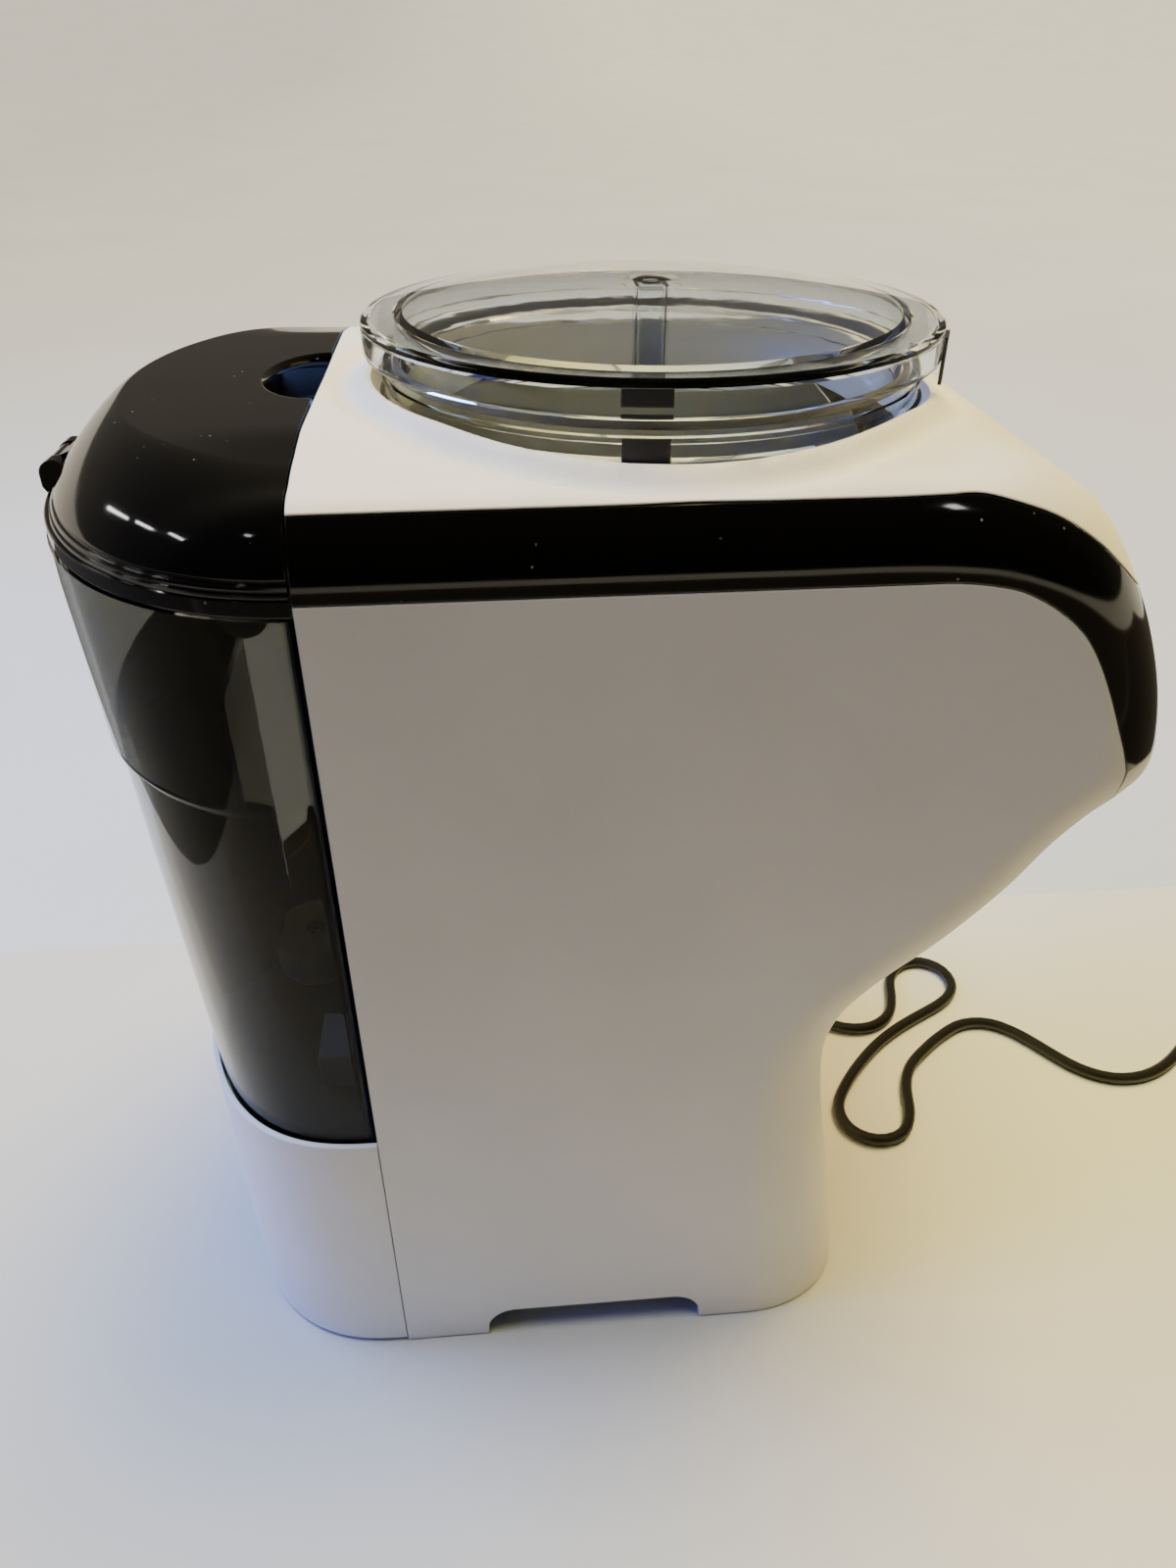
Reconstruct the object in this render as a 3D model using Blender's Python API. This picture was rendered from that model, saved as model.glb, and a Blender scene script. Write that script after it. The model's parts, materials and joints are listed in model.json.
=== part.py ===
"""Countertop dispenser that heats water and mixes it with powder, as separate pieces with real joints.

Numbers are millimetres. Y runs from the seam between body and tank (y = 0) back to the tank (+Y)
and forward to the nose (-Y). X is across, and Z is up from the table. At the end everything is moved
forward-to-back by CENTRE_SHIFT, so that the origin is the middle of the footprint.
"""

import math

import bmesh
import bpy
import numpy as np
from mathutils import Matrix, Vector

MM = 0.001
GAP = 0.3  # between two pieces that touch
WALL = 2.5  # of the outer shells

# Body
HALF_WIDTH = 98.75
TOP_Z = 315.0
SHELL_BOTTOM_Z = 0.8  # the shells end just above the table
SHOULDER = 27.0  # how far the rounded edge comes in from each side
PANEL_EDGE_X = 76.0  # where the side panels meet the lower front cover
BAND_BOTTOM_Z = 289.0
BAND_TOP_Z = 307.0
TIP_Y = -207.4  # the side panel's front tip

# Rear: water tank, its lid and its cradle
TANK_BOTTOM_Z = 97.0
TANK_TOP_Z = 285.0
TANK_STEP_Z = 230.5  # above this the rear of the tank stands out a little further
TANK_WALL = 2.2
RECESS_TOP_Z = 232.0  # of the hand recess in the tank's rear
RECESS_BOTTOM_Z = 119.0
CRADLE_TOP_Z = 107.0
CRADLE_DEPTH = 63.5
CRADLE_FLOOR_Z = 94.0
LID_BOTTOM_Z = 290.6
LID_DEPTH = 77.0
LID_WALL = 2.2
HINGE_Y = 76.2
HINGE_Z = 292.4
HINGE_R = 3.6
VALVE_Y = 29.0

# Powder container, its drive and its lid
AXIS_Y = -91.6  # the container's vertical axis
WELL_R = 78.5
POWDER_LID_R = 80.0
DECK_Z = 241.2
DECK_TOP_Z = 243.7
CONTAINER_FLOOR_Z = 244.0
CONTAINER_TOP_Z = 321.0
GEAR_MODULE = 2.25
GEAR_TEETH = 24
PINION_TEETH = 8
GEAR_Z = 227.0
GEAR_THICK = 6.0

# Funnel drawer, under the nose
DRAWER_HALF_WIDTH = 36.0
DRAWER_BOTTOM_Z = 197.0
DRAWER_TOP_Z = 221.0
DRAWER_BACK_Y = -160.0
FUNNEL_Y = -189.0

# Buttons and display, on the front of the nose
FACE_Y = -219.0
FACE_Z = 254.5
FACE_TILT = math.radians(14.5)
BUTTON_R = 6.5
BUTTON_X = {"minus_button": -52.0, "plus_button": -34.0, "temperature_button": 34.0, "start_button": 52.0}

# Base
BASE_Z = 15.6
BASE_THICK = 2.4
NOTCH_FRONT_Y = -106.0
NOTCH_BACK_Y = -29.4
NOTCH_Z = 14.0
NOTCH_R = 10.0
SCREWS = [(-78.0, -66.0), (78.0, -20.0)]
FEET = [(-66.0, -126.0), (66.0, -126.0), (-60.0, 34.0), (60.0, 34.0)]

# Mains lead
CORD_D = 5.0
CORD_Z = 2.6  # centreline of the lead where it lies on the table
GLAND_Y = -90.0
GLAND_Z = 8.5
COIL_CENTRE = (-2.0, -391.0)
COIL_MID_R = 27.5
COIL_HALF_WIDTH = 5.6
COIL_TOP_Z = 10.0
PLUG_AXIS_Y = -427.0
PLUG_Z = 7.6

CENTRE_SHIFT = 72.3

# The body's outline from the side. Each row pairs a point of the outermost outline, which runs down
# the middle of the body, with the point of the flat side face that the rounded edge leads to.
OUTLINE = [
    (0, 315, 0, 288), (-40, 315, -40, 288), (-80, 315, -79, 288), (-115, 315, -112, 288),
    (-142, 315, -137, 288), (-156, 313.8, -150, 287.6), (-168, 311.4, -160, 286.4),
    (-181, 306.6, -170, 283.0), (-190, 301.6, -177, 278.6), (-197, 295.2, -182, 273.8),
    (-205, 283.6, -188, 266.0), (-212.8, 269.5, -193, 256.6), (-219.3, 254.0, -197, 248.2),
    (-223.0, 241.0, -199, 242.0), (-224.4, 232.2, -199.8, 237.5), (-223.4, 225.2, -199.2, 234.0),
    (-219.0, 219.2, -196.6, 230.5), (-210.0, 211.4, -190, 223.5), (-202, 201.6, -182, 214.6),
    (-192.6, 187.0, -171.5, 199.5), (-176.2, 167.4, -156, 182.5), (-160.5, 153.0, -142, 169.0),
    (-151.5, 141.5, -128, 154.0), (-147.2, 131.0, -120.5, 138.0), (-145.6, 119, -117.5, 120),
    (-146.2, 105, -117, 104), (-148.8, 85, -117.5, 84), (-152.4, 63, -119, 63),
    (-156.6, 38, -121.5, 38), (-160, 15, -123, 15), (-161.4, 0.8, -124, 0.8),
]
# The lower edge of the dark band, from the seam round to the front, seen from the side.
BAND_LOWER = [
    (30, 289), (-76, 289), (-140, 289), (-152, 288.9), (-160, 287.9), (-167, 286.3), (-174, 283),
    (-181, 278.2), (-186.5, 272.8), (-191.5, 265.6), (-196.5, 256.4), (-201, 247), (-204.6, 239.4),
    (-207, 233.4), (-240, 239.4),
]
# Its upper edge, where the top cover begins.
BAND_UPPER = [
    (30, 307), (-76, 307), (-148, 307), (-157, 306.8), (-166, 304.6), (-177, 300.6), (-187, 294.6),
    (-195, 288.0), (-203, 281.0), (-213, 273.4), (-240, 256),
]

# The lead's route on the table from the gland to the coil: out of the side, round the front corner,
# through one S-fold, and on to the coil.
LEAD_ROUTE = [
    (97.6, -90, 8.5), (105, -90, 8.2), (113, -91.5, 6.4), (121, -96.5, 4.0), (127, -105, 2.7),
    (129, -117, 2.6), (127.5, -131, 2.6), (122, -145.5, 2.6), (113, -158, 2.6), (100.5, -168, 2.6),
    (86, -173, 2.6), (70.5, -175.5, 2.6), (56, -179, 2.6), (44, -186.5, 2.6), (36.5, -198, 2.6),
    (36, -211, 2.6), (43, -221.5, 2.6), (54.5, -226.5, 2.6), (67, -229.5, 2.6), (76.5, -237.5, 2.6),
    (78, -249, 2.6), (70.5, -258, 2.6), (58.5, -258.5, 2.6), (49.5, -250.5, 2.6), (42.5, -238, 2.6),
    (35, -224.5, 2.6), (25.5, -211, 2.6), (14, -199, 2.6), (2, -189, 2.6), (-10, -182.5, 2.6),
    (-22, -184.5, 2.6), (-28.5, -194.5, 2.6), (-26, -206.5, 2.6), (-15, -213, 2.6), (-2, -215.5, 2.6),
    (10, -221, 2.6), (20, -231.5, 2.6), (28.5, -243, 2.6), (34.5, -255, 2.6), (33.5, -268, 2.6),
    (25, -279, 2.6), (13.5, -288, 2.6), (2.5, -297.5, 2.6), (-4, -310, 2.6), (-4, -324.5, 2.6),
    (2, -338.5, 2.6), (12, -351.5, 2.6), (24.4, -366.6, 2.6),
]
TAIL_ROUTE = [(-9.5, -426.2, 6.0), (-15.5, -426.9, 7.0), (-21.6, -427.0, 7.6)]


# ---------------------------------------------------------------- materials and meshes

MATERIALS = {
    "white_shell": ((0.86, 0.85, 0.81, 1), 0.45, 0.0),
    "black_gloss": ((0.012, 0.012, 0.013, 1), 0.08, 0.0),
    "black_plastic": ((0.03, 0.03, 0.032, 1), 0.45, 0.0),
    "smoked_clear": ((0.05, 0.05, 0.045, 1), 0.1, 0.0),
    "clear_plastic": ((0.85, 0.88, 0.9, 1), 0.05, 0.0),
    "white_inner": ((0.8, 0.8, 0.78, 1), 0.5, 0.0),
    "silicone": ((0.35, 0.36, 0.38, 1), 0.6, 0.0),
    "rubber": ((0.02, 0.02, 0.02, 1), 0.85, 0.0),
    "steel": ((0.6, 0.6, 0.62, 1), 0.3, 1.0),
    "brass": ((0.75, 0.6, 0.3, 1), 0.35, 1.0),
    "circuit_board": ((0.03, 0.16, 0.07, 1), 0.5, 0.0),
    "cord_jacket": ((0.015, 0.015, 0.015, 1), 0.5, 0.0),
    "display": ((0.02, 0.03, 0.04, 1), 0.05, 0.0),
}


def material(kind):
    found = bpy.data.materials.get(kind)
    if found:
        return found
    color, roughness, metallic = MATERIALS[kind]
    made = bpy.data.materials.new(kind)
    made.use_nodes = True
    shader = made.node_tree.nodes["Principled BSDF"]
    shader.inputs["Base Color"].default_value = color
    shader.inputs["Roughness"].default_value = roughness
    shader.inputs["Metallic"].default_value = metallic
    made.diffuse_color = color
    return made


def to_object(name, bm, kind=None):
    """Turns a closed bmesh, in millimetres, into an object in metres with its faces pointing out."""
    bmesh.ops.recalc_face_normals(bm, faces=bm.faces)
    if bm.calc_volume(signed=True) < 0:
        bmesh.ops.reverse_faces(bm, faces=bm.faces)
    bmesh.ops.transform(bm, matrix=Matrix.Scale(MM, 4), verts=bm.verts)
    mesh = bpy.data.meshes.new(name)
    bm.to_mesh(mesh)
    bm.free()
    thing = bpy.data.objects.new(name, mesh)
    bpy.context.scene.collection.objects.link(thing)
    if kind:
        mesh.materials.append(material(kind))
        mesh.shade_smooth()
        mesh.set_sharp_from_angle(angle=math.radians(35))
    return thing


def loft(name, rings, kind=None):
    """A closed body through rings of the same number of points, with flat ends."""
    bm = bmesh.new()
    rows = [[bm.verts.new(point) for point in ring] for ring in rings]
    count = len(rows[0])
    for low, high in zip(rows, rows[1:]):
        for i in range(count):
            j = (i + 1) % count
            bm.faces.new((low[i], low[j], high[j], high[i]))
    bm.faces.new(rows[0])
    bm.faces.new(rows[-1])
    return to_object(name, bm, kind)


def prism(name, outline, low, high, axis="x", kind=None):
    """A flat outline carried along an axis: (y, z) along x, (x, z) along y, (x, y) along z."""
    place = {
        "x": lambda a, b, c: (c, a, b),
        "y": lambda a, b, c: (a, c, b),
        "z": lambda a, b, c: (a, b, c),
    }[axis]
    return loft(name, [[place(a, b, c) for a, b in outline] for c in (low, high)], kind)


def box(name, low, high, kind=None):
    outline = [(low[0], low[1]), (high[0], low[1]), (high[0], high[1]), (low[0], high[1])]
    return prism(name, outline, low[2], high[2], "z", kind)


def turned(name, profile, centre, kind=None, steps=24, axis="z"):
    """A ring turned about an axis through centre; profile is (radius, height), with radius over 0."""
    rings = []
    for k in range(steps):
        angle = 2 * math.pi * k / steps
        across, along = math.cos(angle), math.sin(angle)
        rings.append([turned_point(r, h, across, along, centre, axis) for r, h in profile])
    bm = bmesh.new()
    rows = [[bm.verts.new(point) for point in ring] for ring in rings]
    count = len(profile)
    for a, b in zip(rows, rows[1:] + rows[:1]):
        for i in range(count):
            j = (i + 1) % count
            bm.faces.new((a[i], a[j], b[j], b[i]))
    return to_object(name, bm, kind)


def turned_point(r, h, across, along, centre, axis):
    x, y, z = centre
    if axis == "z":
        return (x + r * across, y + r * along, z + h)
    if axis == "x":
        return (x + h, y + r * across, z + r * along)
    return (x + r * across, y + h, z + r * along)


def rod(name, centre, stations, kind=None, steps=20, axis="z"):
    """A solid round piece: (radius, height) stations along its axis, with flat ends."""
    rings = []
    for r, h in stations:
        ring = []
        for k in range(steps):
            angle = 2 * math.pi * k / steps
            ring.append(turned_point(r, h, math.cos(angle), math.sin(angle), centre, axis))
        rings.append(ring)
    return loft(name, rings, kind)


def combine(target, tool, operation="DIFFERENCE"):
    """Cuts, joins or intersects target with tool, and removes tool."""
    change = target.modifiers.new("combine", "BOOLEAN")
    change.operation = operation
    change.solver = "EXACT"
    change.object = tool
    bpy.context.view_layer.update()
    graph = bpy.context.evaluated_depsgraph_get()
    mesh = bpy.data.meshes.new_from_object(target.evaluated_get(graph))
    target.modifiers.clear()
    old = target.data
    target.data = mesh
    bpy.data.meshes.remove(old)
    bpy.data.objects.remove(tool)
    return target


def join(target, *tools):
    for tool in tools:
        combine(target, tool, "UNION")
    return target


def finish(thing, kind):
    """Gives a piece made by cutting its one material and its shading."""
    thing.data.materials.clear()
    thing.data.materials.append(material(kind))
    thing.data.shade_smooth()
    thing.data.set_sharp_from_angle(angle=math.radians(35))
    return thing


def set_origin(thing, point):
    """Puts the piece's origin on its joint."""
    place = Vector(point) * MM
    thing.data.transform(Matrix.Translation(-place))
    thing.location = place
    return thing


def copy_of(thing, name):
    made = bpy.data.objects.new(name, thing.data.copy())
    bpy.context.scene.collection.objects.link(made)
    return made


# ---------------------------------------------------------------- curves


def smooth(points, spans):
    """A smooth curve through the points (centripetal Catmull-Rom), with spans steps between each two."""
    p = [np.array(q, float) for q in points]
    p = [2 * p[0] - p[1], *p, 2 * p[-1] - p[-2]]
    out = []
    for a, b, c, d in zip(p, p[1:], p[2:], p[3:]):
        t1 = np.linalg.norm(b - a) ** 0.5
        t2 = t1 + np.linalg.norm(c - b) ** 0.5
        t3 = t2 + np.linalg.norm(d - c) ** 0.5
        for k in range(spans):
            t = t1 + (t2 - t1) * k / spans
            ab = (t1 - t) / t1 * a + t / t1 * b
            bc = (t2 - t) / (t2 - t1) * b + (t - t1) / (t2 - t1) * c
            cd = (t3 - t) / (t3 - t2) * c + (t - t2) / (t3 - t2) * d
            abc = (t2 - t) / t2 * ab + t / t2 * bc
            bcd = (t3 - t) / (t3 - t1) * bc + (t - t1) / (t3 - t1) * cd
            out.append((t2 - t) / (t2 - t1) * abc + (t - t1) / (t2 - t1) * bcd)
    return np.array(out + [p[-2]])


def arc(centre, radii, start, end, steps):
    """Points on an ellipse from start to end degrees."""
    angles = np.radians(np.linspace(start, end, steps + 1))
    return [(centre[0] + radii[0] * math.cos(t), centre[1] + radii[1] * math.sin(t)) for t in angles]


def rear_outline(half_width, depth, power, front_y, steps=16):
    """The D-shaped plan of the rear: a superellipse closed by the straight seam."""
    points = []
    for k in range(steps + 1):
        t = math.pi * k / steps
        c, s = math.cos(t), math.sin(t)
        x = half_width * math.copysign(abs(c) ** (2 / power), c)
        points.append((x, max(front_y, depth * abs(s) ** (2 / power))))
    return [(half_width, front_y), *points[1:-1], (-half_width, front_y)]


# ---------------------------------------------------------------- the outer body


def body_solid(name, inset, overrun):
    """The whole body as one solid, drawn in by inset, and carried past its open rear and bottom."""
    rows = smooth(OUTLINE, 1)
    outer, side = rows[:, :2], rows[:, 2:]
    run = np.gradient(outer, axis=0)
    run /= np.linalg.norm(run, axis=1)[:, None]
    inward = np.stack([-run[:, 1], run[:, 0]], 1)
    inward[0], inward[-1] = (0, -1), (1, 0)
    edge = (side - outer) * (SHOULDER - inset) / SHOULDER
    rings = []
    levels = np.radians([0, 22, 44, 67, 90])
    flank = HALF_WIDTH - SHOULDER
    across = [(-flank - (SHOULDER - inset) * math.cos(t), t) for t in levels]
    across += [(-x, t) for x, t in reversed(across)]
    for x, t in across:
        line = outer + inward * inset + edge * (1 - math.sin(t))
        line[0, 0], line[-1, 1] = overrun, SHELL_BOTTOM_Z - overrun
        corner = (overrun, SHELL_BOTTOM_Z - overrun)
        rings.append([(x, y, z) for y, z in line] + [(x, *corner)])
    return loft(name, rings)


def outer_shell():
    shell = body_solid("shell", 0.0, 0.0)
    return combine(shell, body_solid("core", WALL, 12.0))


def region(name, outline, low=-120.0, high=120.0):
    return prism(name, outline, low, high, "x")


def lifted(points, amount):
    return [(y, z + amount) for y, z in points]


def notch_cutter():
    outline = [(NOTCH_FRONT_Y, -5), (NOTCH_BACK_Y, -5)]
    outline += arc((NOTCH_BACK_Y - NOTCH_R, NOTCH_Z - NOTCH_R), (NOTCH_R, NOTCH_R), 0, 90, 5)
    outline += arc((NOTCH_FRONT_Y + NOTCH_R, NOTCH_Z - NOTCH_R), (NOTCH_R, NOTCH_R), 90, 180, 5)
    return region("notch", outline)


def side_panels(shell):
    lower = lifted(BAND_LOWER[:-1], -GAP / 2)
    area = [(-GAP / 2, -5), (-GAP / 2, BAND_BOTTOM_Z - GAP / 2)]
    area += [p for p in lower if p[0] < -1] + [(TIP_Y, 225), (TIP_Y, -5)]
    for name, low, high in (
        ("left_side_panel", -120, -PANEL_EDGE_X - GAP / 2),
        ("right_side_panel", PANEL_EDGE_X + GAP / 2, 120),
    ):
        panel = combine(copy_of(shell, name), region("area", area, low, high), "INTERSECT")
        finish(combine(panel, notch_cutter()), "white_shell")


def top_cover(shell):
    edge = [p for p in lifted(BAND_UPPER, GAP / 2) if p[0] < -1]
    area = [(-GAP / 2, BAND_TOP_Z + GAP / 2), *edge, (-240, 340), (-GAP / 2, 340)]
    cover = combine(copy_of(shell, "top_cover"), region("area", area), "INTERSECT")
    centre = (0, AXIS_Y, 0)
    sleeve = [(WELL_R, 298), (WELL_R + 2, 298), (WELL_R + 2, 313), (WELL_R, 313)]
    combine(cover, rod("well", centre, [(WELL_R + 1, 290), (WELL_R + 1, 330)], steps=36))
    join(cover, turned("sleeve", sleeve, centre, steps=36))
    finish(cover, "white_shell")


def face_rod(name, x, stations, kind=None, steps=16):
    """A round piece square to the nose's front face; stations are (radius, depth behind the face)."""
    made = rod(name, (0, 0, 0), stations, kind, steps, "y")
    made.rotation_euler = (-FACE_TILT, 0, 0)
    made.location = Vector((x, FACE_Y, FACE_Z)) * MM
    bpy.context.view_layer.update()
    return made


def fascia_band(shell):
    lower = [p for p in lifted(BAND_LOWER, GAP / 2) if p[0] < -1]
    upper = [p for p in lifted(BAND_UPPER, -GAP / 2) if p[0] < -1]
    area = [(-GAP / 2, BAND_BOTTOM_Z + GAP / 2), *lower, *reversed(upper)]
    area += [(-GAP / 2, BAND_TOP_Z - GAP / 2)]
    band = combine(copy_of(shell, "fascia_band"), region("area", area), "INTERSECT")
    for x in BUTTON_X.values():
        combine(band, face_rod("hole", x, [(BUTTON_R + 0.4, -12), (BUTTON_R + 0.4, 12)]))
    window = box("window", (-20.4, -12, -9.4), (20.4, 12, 9.4))
    window.rotation_euler = (-FACE_TILT, 0, 0)
    window.location = Vector((0, FACE_Y, FACE_Z)) * MM
    finish(combine(band, window), "black_gloss")


def lower_front_cover(shell):
    lower = [p for p in lifted(BAND_LOWER, -GAP / 2) if p[0] < TIP_Y + 1]
    area = [(-110, -5), (-110, 232), (TIP_Y + 1, 233), *lower[1:], (-240, -5)]
    cover = combine(copy_of(shell, "lower_front_cover"), region("area", area), "INTERSECT")
    for low, high in ((-120, -PANEL_EDGE_X + GAP / 2), (PANEL_EDGE_X - GAP / 2, 120)):
        combine(cover, box("side", (low, TIP_Y - GAP, -10), (high, 20, 400)))
    wide = DRAWER_HALF_WIDTH + 0.4
    low = (-wide, -240, DRAWER_BOTTOM_Z - 0.4)
    combine(cover, box("slot", low, (wide, DRAWER_BACK_Y + 1, DRAWER_TOP_Z + 0.4)))
    combine(cover, box("outlet", (-12, -240, 160), (12, FUNNEL_Y + 13, DRAWER_BOTTOM_Z + 1)))
    finish(cover, "white_shell")


def buttons_and_display():
    for name, x in BUTTON_X.items():
        button = face_rod(
            name,
            x,
            [(BUTTON_R - 0.9, -0.9), (BUTTON_R, -0.2), (BUTTON_R, 4.2)],
            "black_plastic",
        )
        button.data.set_sharp_from_angle(angle=math.radians(35))
    lens = box("display_lens", (-20, -0.5, -9), (20, 1.0, 9), "display")
    lens.rotation_euler = (-FACE_TILT, 0, 0)
    lens.location = Vector((0, FACE_Y, FACE_Z)) * MM
    board = box("control_board", (-62, 8.0, -10.5), (62, 9.6, 10.5), "circuit_board")
    board.rotation_euler = (-FACE_TILT, 0, 0)
    board.location = Vector((0, FACE_Y, FACE_Z)) * MM


def rear_wall():
    edge = HALF_WIDTH - WALL - GAP
    radius = SHOULDER - WALL + 2
    outline = [(-edge, 18.4), (edge, 18.4)]
    outline += arc((edge - radius, TOP_Z - WALL - GAP - radius), (radius, radius), 0, 90, 6)
    outline += arc((radius - edge, TOP_Z - WALL - GAP - radius), (radius, radius), 90, 180, 6)
    wall = prism("rear_wall", outline, -2.9, -0.7, "y")
    finish(wall, "white_inner")


# ---------------------------------------------------------------- base


def tank_cradle():
    outer = rear_outline(HALF_WIDTH, CRADLE_DEPTH, 2.63, GAP / 2)
    cradle = prism("tank_cradle", outer, SHELL_BOTTOM_Z, CRADLE_TOP_Z, "z")
    inside = rear_outline(HALF_WIDTH - 1.7, CRADLE_DEPTH - 1.7, 2.63, -10)
    combine(cradle, prism("below", inside, -10, CRADLE_FLOOR_Z, "z"))
    combine(cradle, prism("pocket", inside, CRADLE_FLOOR_Z + 2.5, 130, "z"))
    combine(cradle, rod("hole", (0, VALVE_Y, 0), [(12.4, 80), (12.4, 110)]))
    finish(cradle, "white_shell")


def base_plate():
    half, front = HALF_WIDTH - WALL - 0.5, -156.2
    outline = rear_outline(half, CRADLE_DEPTH - 2.6, 2.63, -5)
    outline += arc((-half + 26, front + 36), (26, 36), 180, 270, 6)
    outline += arc((half - 26, front + 36), (26, 36), 270, 360, 6)
    plate = prism("base_plate", outline, BASE_Z, BASE_Z + BASE_THICK, "z")
    for x, y in FEET:
        join(plate, rod("boss", (x, y, 0), [(9, 3.4), (9, BASE_Z + 1)], steps=20))
        combine(plate, rod("bore", (x, y, 0), [(3.3, 3), (3.3, 9)], steps=16))
    block = box("gland_block", (58, GLAND_Y - 10, 2.4), (71.7, GLAND_Y + 10, BASE_Z + 1))
    combine(block, rod("bore", (50, GLAND_Y, GLAND_Z), [(4.6, 0), (4.6, 30)], steps=20, axis="x"))
    join(plate, block)
    finish(plate, "white_inner")


def rubber_feet():
    for i, (x, y) in enumerate(FEET, 1):
        stations = [(7.4, 0), (8.2, 0.8), (8.2, 3.1), (3.0, 3.1), (3.0, 8.6)]
        rod(f"rubber_foot_{i}", (x, y, 0), stations, "rubber", 16)


# ---------------------------------------------------------------- water tank


def tank_ring(z, inset=0.0):
    """The tank's plan at height z: fuller and deeper towards the top."""
    share = (z - TANK_BOTTOM_Z) / (TANK_TOP_Z - TANK_BOTTOM_Z)
    width = 96.2 + 1.2 * share - inset
    depth = 60.6 + 15.2 * share - inset + (2.1 if z > TANK_STEP_Z else 0.0)
    power = 2.63 - 0.6 * share
    return [(x, y, z) for x, y in rear_outline(width, depth, power, 0.6 + inset)]


def hand_recess(grow):
    """The upright hollow in the tank's rear that a hand reaches into, made larger by grow."""
    half = []
    for x, y, across, forward in ((46, 95, 1, 0), (44, 67, 1, 0.3), (25, 46.5, 0.8, 0.7), (19, 43, 0.2, 1)):
        half.append((x + grow * across, y - grow * forward))
    plan = [*half, *[(-x, y) for x, y in reversed(half)]]
    side = [(95, RECESS_TOP_Z + grow), (52, RECESS_TOP_Z + grow)]
    side += arc((52, RECESS_TOP_Z - 9), (9 + grow, 9 + grow), 90, 180, 4)
    side += [(41.5 - grow, RECESS_BOTTOM_Z - grow), (95, RECESS_BOTTOM_Z - grow)]
    recess = prism("recess", plan, 80, 260, "z")
    return combine(recess, prism("side", side, -60, 60), "INTERSECT")


def water_tank():
    heights = (TANK_BOTTOM_Z, 150, 229.5, 232, TANK_TOP_Z)
    tank = loft("water_tank", [tank_ring(z) for z in heights])
    inner = (TANK_BOTTOM_Z + 2.5, 150, 229.5, 232, TANK_TOP_Z + 6)
    hollow = loft("hollow", [tank_ring(z, TANK_WALL) for z in inner])
    combine(tank, combine(hollow, hand_recess(TANK_WALL)))
    combine(tank, hand_recess(0.0))
    combine(tank, rod("valve_hole", (0, VALVE_Y, 0), [(7.4, 90), (7.4, 110)]))
    finish(tank, "smoked_clear")


def tank_collar():
    """The dark ring on the tank's mouth, with two lugs for the lid's hinge at the rear."""
    plan = rear_outline(HALF_WIDTH - 1.2, 77.6, 2.0, 0.6)
    inner = rear_outline(HALF_WIDTH - 7.2, 69.6, 2.0, 6.6)
    collar = prism("tank_collar", plan, TANK_TOP_Z + GAP, LID_BOTTOM_Z - GAP, "z")
    combine(collar, prism("mouth", inner, 270, 300, "z"))
    skirt_out = rear_outline(HALF_WIDTH - 4.5, 73.0, 2.02, 3.4)
    skirt_in = rear_outline(HALF_WIDTH - 6.2, 71.3, 2.02, 5.1)
    skirt = prism("skirt", skirt_out, TANK_TOP_Z - 1.5, TANK_TOP_Z + 2, "z")
    combine(skirt, prism("skirt_hole", skirt_in, 270, 300, "z"))
    join(collar, skirt)
    combine(collar, box("knuckle_room", (-6.3, 72.3, 280), (6.3, 90, 300)))
    lug = [(18.5, 286), *arc((12.5, 285), (6, 6), 0, -180, 8), (6.5, 286)]
    for x in (-92.0, 90.4):
        join(collar, prism("lug", lug, x, x + 1.6))
    for x in (-8.6, 8.6):
        ear = [(HINGE_Y - 3.3, 286.0), (HINGE_Y + 3.3, 286.0)]
        ear += arc((HINGE_Y, HINGE_Z), (3.3, 3.3), 0, 180, 8)
        join(collar, prism("ear", ear, x - 2, x + 2, "x"))
    pin_hole = rod("pin_hole", (0, HINGE_Y, HINGE_Z), [(1.6, -20), (1.6, 20)], steps=16, axis="x")
    finish(combine(collar, pin_hole), "black_plastic")


def lid_ring(z, inset=0.0):
    """The lid's plan at height z: a shoulder that is round at the sides and slopes at the rear."""
    share = min(1.0, (z - 288.0) / (27.0 - inset))
    half, depth = HALF_WIDTH - inset, LID_DEPTH - inset
    ring = []
    for k in range(21):
        t = math.pi * k / 20
        power = 2.0 - 0.75 * math.sin(t)
        reach = (1 - share**power) ** (1 / power)
        level = 0.727 - 0.035 * math.sin(t) ** 2.7
        rho = level + (1 - level) * reach
        ring.append((half * rho * math.cos(t), max(0.45 + inset, depth * rho * math.sin(t)), z))
    return ring


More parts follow.
